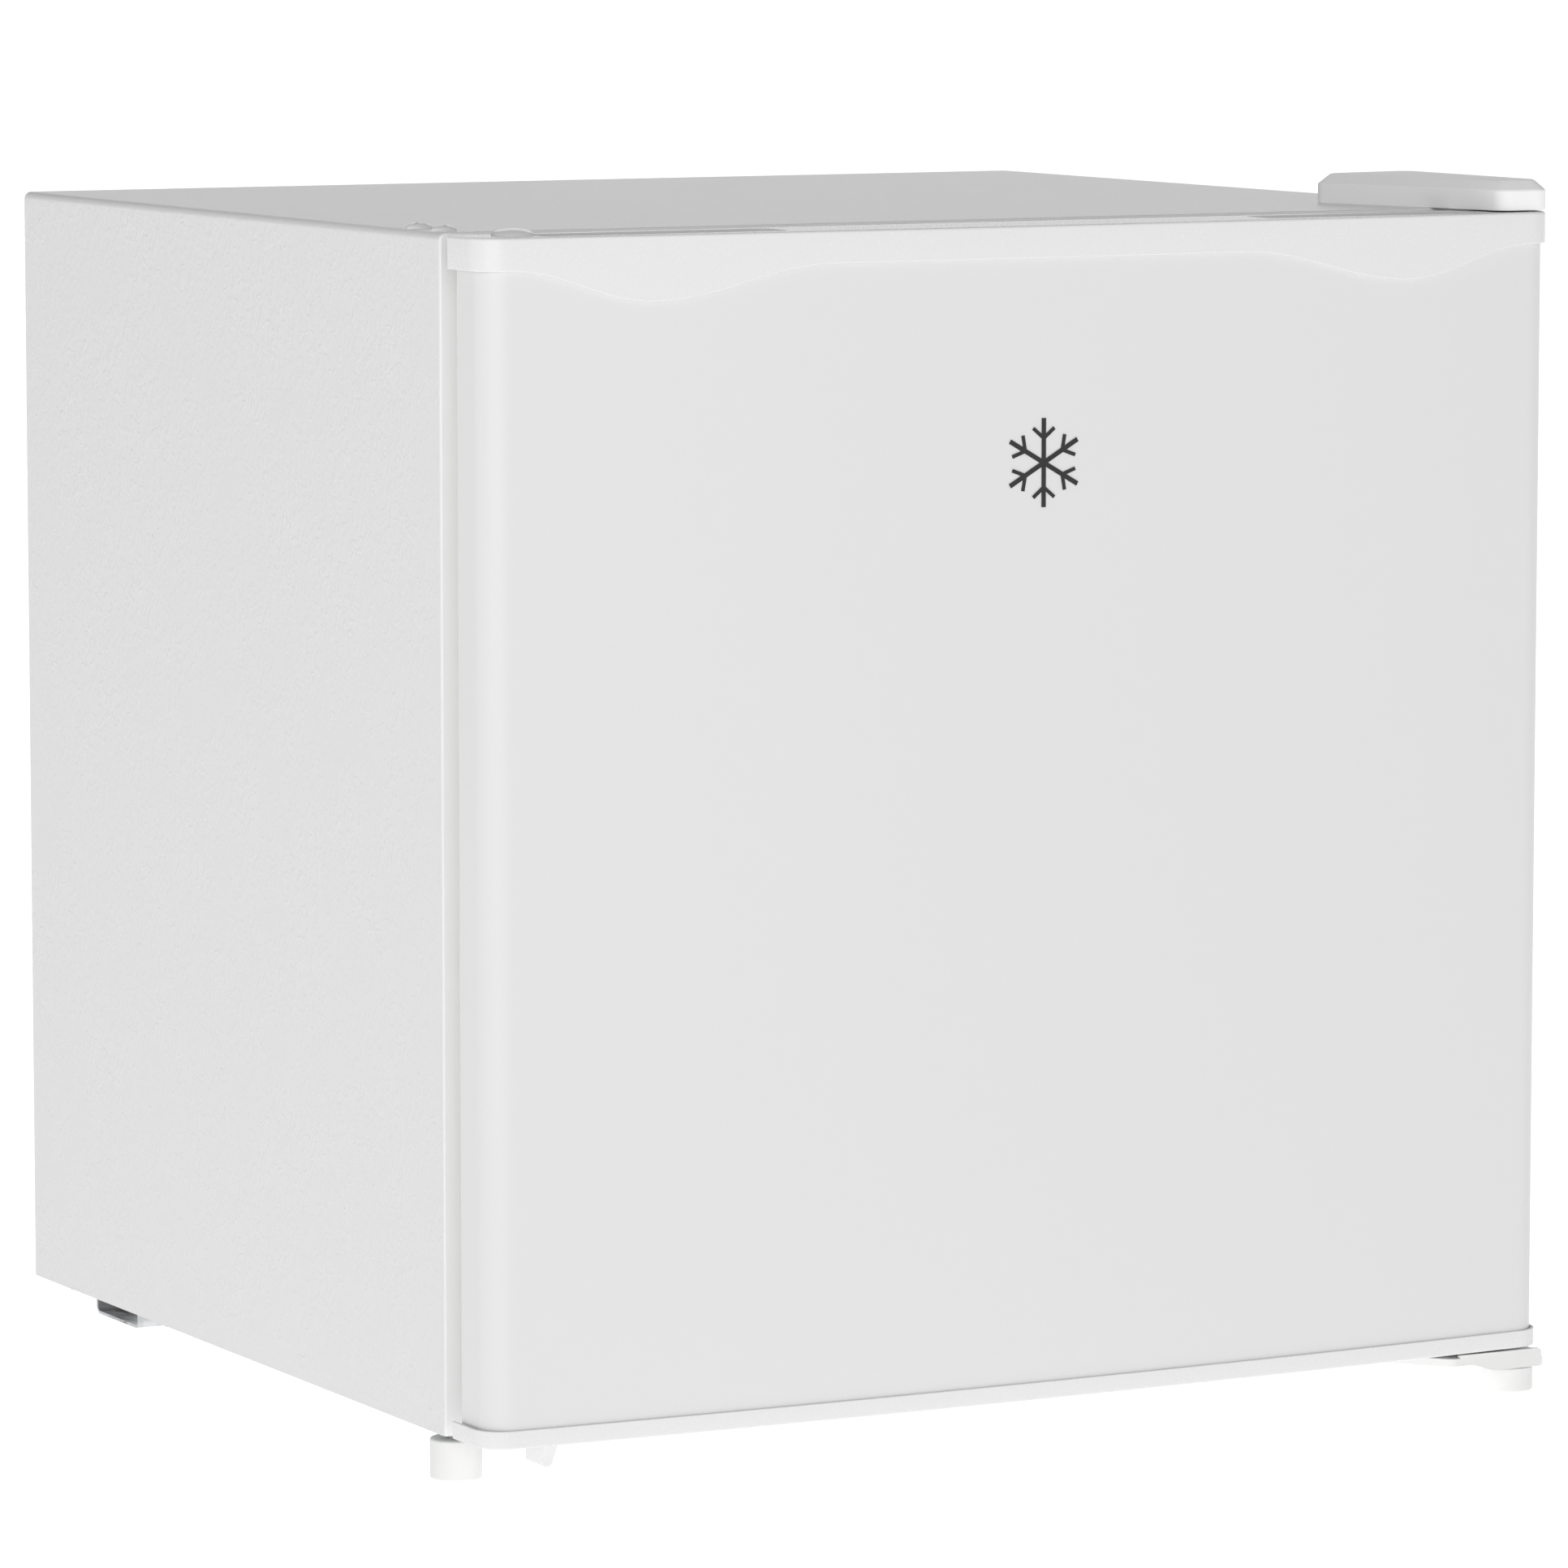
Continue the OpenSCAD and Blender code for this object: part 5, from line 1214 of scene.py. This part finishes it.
panel_cut = block((ice_lo.x + 20 * mm, flap_y - 3 * mm, ice_lo.z + 18 * mm),
                  (ice_hi.x - 20 * mm, flap_y - 0.7 * mm, flap_z - 12 * mm), 6 * mm, "y")
flap = block((ice_lo.x + flap_in, flap_y - 1.5 * mm, ice_lo.z + 2 * mm),
             (ice_hi.x - flap_in, flap_y + 1.5 * mm, flap_z), 3 * mm, "y")
settle("freezer_flap_moulding", flap, satin_abs, "freezer_door", ["freezer_flap"], edge=0.4 * mm, smooth=40,
       plus=flap_parts, minus=[panel_cut])

melt_lo, melt_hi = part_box("drip_tray")
tray_wall = 2 * mm
tray_cut = [block((melt_lo.x + 9 * mm, melt_lo.y + tray_wall, melt_lo.z + tray_wall),
                  (melt_hi.x - 9 * mm, melt_hi.y - tray_wall, melt_hi.z + 2 * mm), 6 * mm)]
tray_rim = [block((melt_lo.x, melt_lo.y, melt_hi.z - 2 * mm), (melt_hi.x, melt_hi.y, melt_hi.z), 4 * mm)]
tray = block((melt_lo.x + 7 * mm, melt_lo.y, melt_lo.z), (melt_hi.x - 7 * mm, melt_hi.y, melt_hi.z - 1 * mm),
             8 * mm)
settle("melt_water_tray", tray, clear, "melt_tray", ["drip_tray"], edge=0.35 * mm, smooth=40,
       plus=tray_rim, minus=tray_cut)
keep(satin_abs, "freezer_mounts", "tray_rails", "drain_tube")


# ---- Thermostat ----
# A white housing screwed to the side wall, with the thermostat behind it, a ribbed dial that turns on its
# shaft, and the copper capillary's sensing bulb clipped beside the freezer box.
stat_lo, stat_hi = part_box("thermostat_housing")
dial_lo, dial_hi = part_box("thermostat_knob")
dial_x = (dial_lo.x + dial_hi.x) / 2
dial_z = (dial_lo.z + dial_hi.z) / 2
housing = prism(oblong(stat_lo.x, stat_lo.y, stat_hi.x, stat_hi.y, [8 * mm, 3 * mm, 3 * mm, 3 * mm]), "z",
                stat_lo.z, stat_hi.z)
shell_in = 2 * mm
hollow = slab((stat_lo.x + shell_in, stat_lo.y + shell_in, stat_lo.z + shell_in),
              (stat_hi.x - shell_in, stat_hi.y - shell_in, stat_hi.z - shell_in))
shaft_hole = peg(4 * mm, -1 * mm, 5 * mm, (dial_x, stat_lo.y, dial_z), axis="y")
lamp_slots = [block((stat_lo.x + 12 * mm + i * 8 * mm, stat_lo.y - 1 * mm, stat_lo.z + 8 * mm),
                    (stat_lo.x + 16 * mm + i * 8 * mm, stat_lo.y + 0.8 * mm, stat_lo.z + 20 * mm), 1.8 * mm,
                    "y") for i in range(8)]
settle("thermostat_cover", housing, satin_abs, "cabinet", ["thermostat_housing"],
       edge=1 * mm, smooth=40, minus=[hollow, shaft_hole] + lamp_slots)

ticks = bmesh.new()
for i in range(7):
    a = math.radians(-135 + 45 * i + 90)
    centre = Vector((dial_x + 21 * mm * math.cos(a), stat_lo.y, dial_z + 21 * mm * math.sin(a)))
    out, across = Vector((math.cos(a), 0, math.sin(a))), Vector((-math.sin(a), 0, math.cos(a)))
    long, wide = (2 + 0.25 * i) * mm, (0.4 + 0.12 * i) * mm
    loft(ticks, [[centre + out * u + across * v + Vector((0, y, 0))
                  for u, v in ((-long, -wide), (long, -wide), (long, wide), (-long, wide))]
                 for y in (-0.08 * mm, 0.3 * mm)])
settle("dial_ticks", ticks, bpy.data.materials["black_print_ink"], "cabinet", (), smooth=40)

dial_r = 17 * mm
front = stat_lo.y - 15 * mm
dial = turned([(0, front), (dial_r - 3.2 * mm, front), (dial_r - 2 * mm, front + 0.5 * mm),
               (dial_r - 1.2 * mm, front + 1.6 * mm),
               (dial_r - 0.6 * mm, front + 8 * mm), (dial_r - 0.2 * mm, front + 12.5 * mm),
               (dial_r - 0.2 * mm, front + 14.5 * mm),
               (3 * mm, front + 14.5 * mm), (3 * mm, front + 35 * mm), (0, front + 35 * mm)],
              (dial_x, 0, dial_z), steps=72, axis="y")
grips = bmesh.new()
for i in range(24):
    a = 2 * math.pi * (i + 0.5) / 24
    x, z = dial_x + (dial_r - 0.9 * mm) * math.cos(a), dial_z + (dial_r - 0.9 * mm) * math.sin(a)
    join(grips, tube(bmesh.new(), [(x, front + 2.4 * mm, z), (x, front + 12 * mm, z)], 0.9 * mm, sides=10))
pointer = block((dial_x - 2 * mm, dial_lo.y, dial_lo.z + 2 * mm),
                (dial_x + 2 * mm, front + 1 * mm, dial_hi.z - 2 * mm), 1.5 * mm, "y")
settle("thermostat_dial", dial, satin_abs, "knob", ["thermostat_knob"],
       edge=0.3 * mm, smooth=40, plus=[pointer])
settle("dial_grips", grips, satin_abs, "knob", (), smooth=50)
keep(zinc, "thermostat")


# ---- Compressor ----
# Hermetic compressor: two deep-drawn halves of a steel can welded on a flange, on a pressed foot plate, all
# in black stove enamel. It stands on rubber grommets and is bolted to the base plate.
def stove_enamel():
    """Black stove enamel over pressed steel: semi-gloss, slight orange peel, a little dust in the hollows."""
    finish, tree, base, where = start_finish("black_stove_enamel", "17181A", 0.34, Coat_Weight=0.2,
                                             Coat_Roughness=0.2)
    peel = add(tree, "ShaderNodeTexNoise", {"Vector": where, "Scale": 1 / (2 * mm), "Detail": 2})
    dust = add(tree, "ShaderNodeTexNoise", {"Vector": where, "Scale": 1 / (18 * mm), "Detail": 4})
    raise_grain(tree, base, peel.outputs["Fac"], 0.05 * mm)
    vary(tree, base, "Base Color", dust.outputs["Fac"], "131416", "27282A")
    vary(tree, base, "Roughness", dust.outputs["Fac"], 0.26, 0.5)
    return finish


enamel = stove_enamel()
can_lo, can_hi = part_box("compressor")
can = ((can_lo.x + can_hi.x) / 2, y_back - 53 * mm, 0)
can_r = 52 * mm
seam = 95.5 * mm
can_profile = [(0, can_lo.z + 2 * mm), (can_r - 22 * mm, can_lo.z + 2 * mm)]
can_profile += [(can_r - 22 * mm + 20 * mm * math.sin(a), can_lo.z + 22 * mm - 20 * mm * math.cos(a))
                for a in (math.radians(15 * i) for i in range(1, 7))]
can_profile += [(can_r - 2 * mm, seam - 4 * mm), (can_r - 1.4 * mm, seam - 3 * mm),
                (can_r - 0.3 * mm, seam - 2.5 * mm), (can_r, seam - 2 * mm),
                (can_r, seam + 2 * mm), (can_r - 0.5 * mm, seam + 2.6 * mm),
                (can_r - 2.4 * mm, seam + 3 * mm), (can_r - 3 * mm, seam + 4.5 * mm)]
crown = can_hi.z - 28 * mm
can_profile += [(can_r - 31 * mm + 28 * mm * math.cos(a), crown + 28 * mm * math.sin(a))
                for a in (math.radians(10 * i) for i in range(9))]
can_profile += [(12 * mm, can_hi.z), (0, can_hi.z)]
compressor_can = turned(can_profile, can, steps=96)
sole = block(can_lo, (can_hi.x, can_hi.y, can_lo.z + 3 * mm), 8 * mm)
bolt_spots = [(can[0] + x * mm, can[1] + y * mm, 0) for x in (-75, 75) for y in (-36, 36)]
holes = [peg(5 * mm, 20 * mm, 30 * mm, spot) for spot in bolt_spots]
settle("compressor_foot_plate", sole, enamel, "cabinet", ["compressor"],
       edge=0.5 * mm, smooth=40, minus=holes)
settle("compressor_can", compressor_can, enamel, "cabinet", (), smooth=50)


def moulded_rubber():
    """Moulded nitrile rubber: near black, matt, with a bloom that greys it in patches."""
    finish, tree, base, where = start_finish("nitrile_rubber", "1B1B1C", 0.72)
    bloom = add(tree, "ShaderNodeTexNoise", {"Vector": where, "Scale": 1 / (6 * mm), "Detail": 4})
    vary(tree, base, "Base Color", bloom.outputs["Fac"], "161617", "2D2D2E")
    raise_grain(tree, base, bloom.outputs["Fac"], 0.05 * mm)
    return finish


rubber = moulded_rubber()
grommet_profile = in_mm([
    (0, 18), (8.6, 18), (9, 18.4), (9, 19.6), (8, 20.4), (8, 21.6), (9, 22.4), (9, 23.7), (8.6, 24), (5, 24),
    (5, 27), (7.2, 27), (7.5, 27.4), (7.5, 29.5), (7, 30), (0, 30)])
grommet = cut_mesh("grommet", turned(grommet_profile), peg(3.1 * mm, 10 * mm, 35 * mm, steps=24))
in_rows("compressor_grommet_mouldings", bolt_spots, grommet, (0, 0, 0), rubber, "cabinet",
        ["compressor_grommets"], spin=0.0)
bolt = turned(in_mm([(0, 11.8), (2.6, 11.8), (3, 12.3), (3, 32.4), (2.5, 33), (0, 33)]), steps=24)
for z, high in ((12.8, 4), (30, 3)):
    nut = in_mm([(0, z), (4.9, z), (5.5, z + 0.3), (5.5, z + high - 0.3), (4.9, z + high), (0, z + high)])
    join(bolt, turned(nut, steps=6))
in_rows("compressor_bolt_sets", bolt_spots, close_up(bolt, "bolt"), (0, 0, 0), zinc, "cabinet",
        ["compressor_bolts"], seed=8)


# ---- Starter cover and cord inlet ----
# The box clipped over the starter relay on the side of the compressor, and the gland that the mains cord goes
# in by. Both are moulded in black glass-filled nylon.
def filled_nylon():
    """Glass-filled nylon: black, matt, with a fine fibrous moulding texture."""
    finish, tree, base, where = start_finish("black_glass_filled_nylon", "1A1A1B", 0.55)
    fibre = add(tree, "ShaderNodeTexNoise", {"Vector": where, "Scale": 1 / (0.8 * mm), "Detail": 4})
    raise_grain(tree, base, fibre.outputs["Fac"], 0.04 * mm)
    vary(tree, base, "Roughness", fibre.outputs["Fac"], 0.45, 0.68)
    return finish


black_nylon = filled_nylon()
relay_lo, relay_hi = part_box("starter_box")
inlet = (relay_lo.x + 18 * mm, relay_hi.y - 4 * mm, relay_lo.z + 14 * mm)
relay_cuts = [slab((relay_lo.x - 1 * mm, relay_lo.y + 2 * mm, relay_lo.z + 2 * mm),
                   (relay_hi.x - 2 * mm, relay_hi.y - 2 * mm, relay_hi.z - 2 * mm)),
              peg(6 * mm, -6 * mm, 6 * mm, inlet, axis="y")]
settle("starter_cover", block(relay_lo, relay_hi, 5 * mm, "x"),
       black_nylon, "cabinet", ["starter_box"], edge=0.8 * mm, smooth=40, minus=relay_cuts)
gland_cut = peg(3.6 * mm, -8 * mm, 10 * mm, inlet, axis="y")
gland = turned([(0, 2 * mm), (6 * mm, 2 * mm), (6 * mm, 4 * mm), (8 * mm, 4 * mm), (8 * mm, 5.2 * mm),
                (7.2 * mm, 6 * mm), (0, 6 * mm)], inlet, axis="y")
settle("cord_inlet", gland, black_nylon, "cabinet", ["cord_gland"], smooth=40, minus=[gland_cut])


# ---- Tubes and trays at the back ----
# Brazed copper tube, bent cold; the drier's thin capillary is wound in a coil. The evaporation tray on top of
# the compressor is moulded in grey polypropylene.
def drawn_copper():
    """Drawn copper tube: warm satin metal, darker and rougher where it has oxidised or been brazed."""
    finish, tree, base, where = start_finish("drawn_copper", "C58463", 0.3, Metallic=1)
    oxide = add(tree, "ShaderNodeTexNoise", {"Vector": where, "Scale": 1 / (14 * mm), "Detail": 4})
    vary(tree, base, "Base Color", oxide.outputs["Fac"], "A2603F", "D79A78")
    vary(tree, base, "Roughness", oxide.outputs["Fac"], 0.24, 0.48)
    return finish


copper = drawn_copper()
drier_lo, drier_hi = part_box("filter_drier")
dx, dy = (drier_lo.x + drier_hi.x) / 2, (drier_lo.y + drier_hi.y) / 2
bay_top = bay_hi.z - sheet
cx, cy = can[:2]
discharge = [(cx - can_r + 1.5 * mm, cy - 10 * mm, 110 * mm), (cx - 80 * mm, cy - 10 * mm, 110 * mm),
             (cx - 80 * mm, cy - 10 * mm, 150 * mm), (cx - 160 * mm, cy - 10 * mm, 150 * mm),
             (cx - 160 * mm, cy - 10 * mm, 60 * mm), (dx + 8 * mm, dy, 60 * mm)]
suction = [(cx - can_r + 1.5 * mm, cy + 14 * mm, 80 * mm), (cx - 100 * mm, cy + 14 * mm, 80 * mm),
           (cx - 100 * mm, cy + 14 * mm, 176 * mm), (cx - 120 * mm, cy + 14 * mm, 176 * mm),
           (cx - 120 * mm, cy + 14 * mm, bay_top)]
for name, path, r, node in (("discharge_pipe", discharge, 2.4 * mm, "discharge_tube"),
                            ("suction_pipe", suction, 3 * mm, "suction_tube")):
    settle(name, tube(bmesh.new(), path, r, bend=9 * mm), copper, "cabinet", [node], smooth=60)
z = drier_lo.z
drier = turned([(0, z), (2.4 * mm, z), (2.4 * mm, z + 3 * mm), (3.4 * mm, z + 4.5 * mm),
                (7 * mm, z + 10.5 * mm), (8 * mm, z + 13 * mm),
                (8 * mm, z + 70 * mm), (7.2 * mm, z + 73.5 * mm), (3.4 * mm, z + 82 * mm),
                (2.4 * mm, z + 84 * mm), (2.4 * mm, drier_hi.z), (0, drier_hi.z)], (dx, dy, 0))
capillary = [(dx, dy, drier_hi.z - 2 * mm)]
coil_r, coil_turns = 17 * mm, 3
for i in range(24 * coil_turns + 1):
    a = 2 * math.pi * i / 24
    capillary.append((dx - coil_r + coil_r * math.cos(a), dy + coil_r * math.sin(a),
                      drier_hi.z + (4 + i * 0.11) * mm))
capillary.append((dx, dy, bay_top))
join(drier, tube(bmesh.new(), capillary, 0.95 * mm, sides=8))
settle("drier_and_capillary", drier, copper, "cabinet", ["filter_drier"], smooth=60)
keep(copper, "sensor_bulb", "condenser_coil")

dish_lo, dish_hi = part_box("evaporation_tray")
grey_pp = nylon("grey_polypropylene", "C4C6C7", 0.45)
dish_cut = block((dish_lo.x + 2 * mm, dish_lo.y + 2 * mm, dish_lo.z + 2 * mm),
                 (dish_hi.x - 2 * mm, dish_hi.y - 2 * mm, dish_hi.z + 3 * mm), 6 * mm)
settle("evaporation_dish", block(dish_lo, dish_hi, 8 * mm),
       grey_pp, "cabinet", ["evaporation_tray"], edge=0.5 * mm, smooth=40, minus=[dish_cut])
keep(grey_pp, "foot_insert")
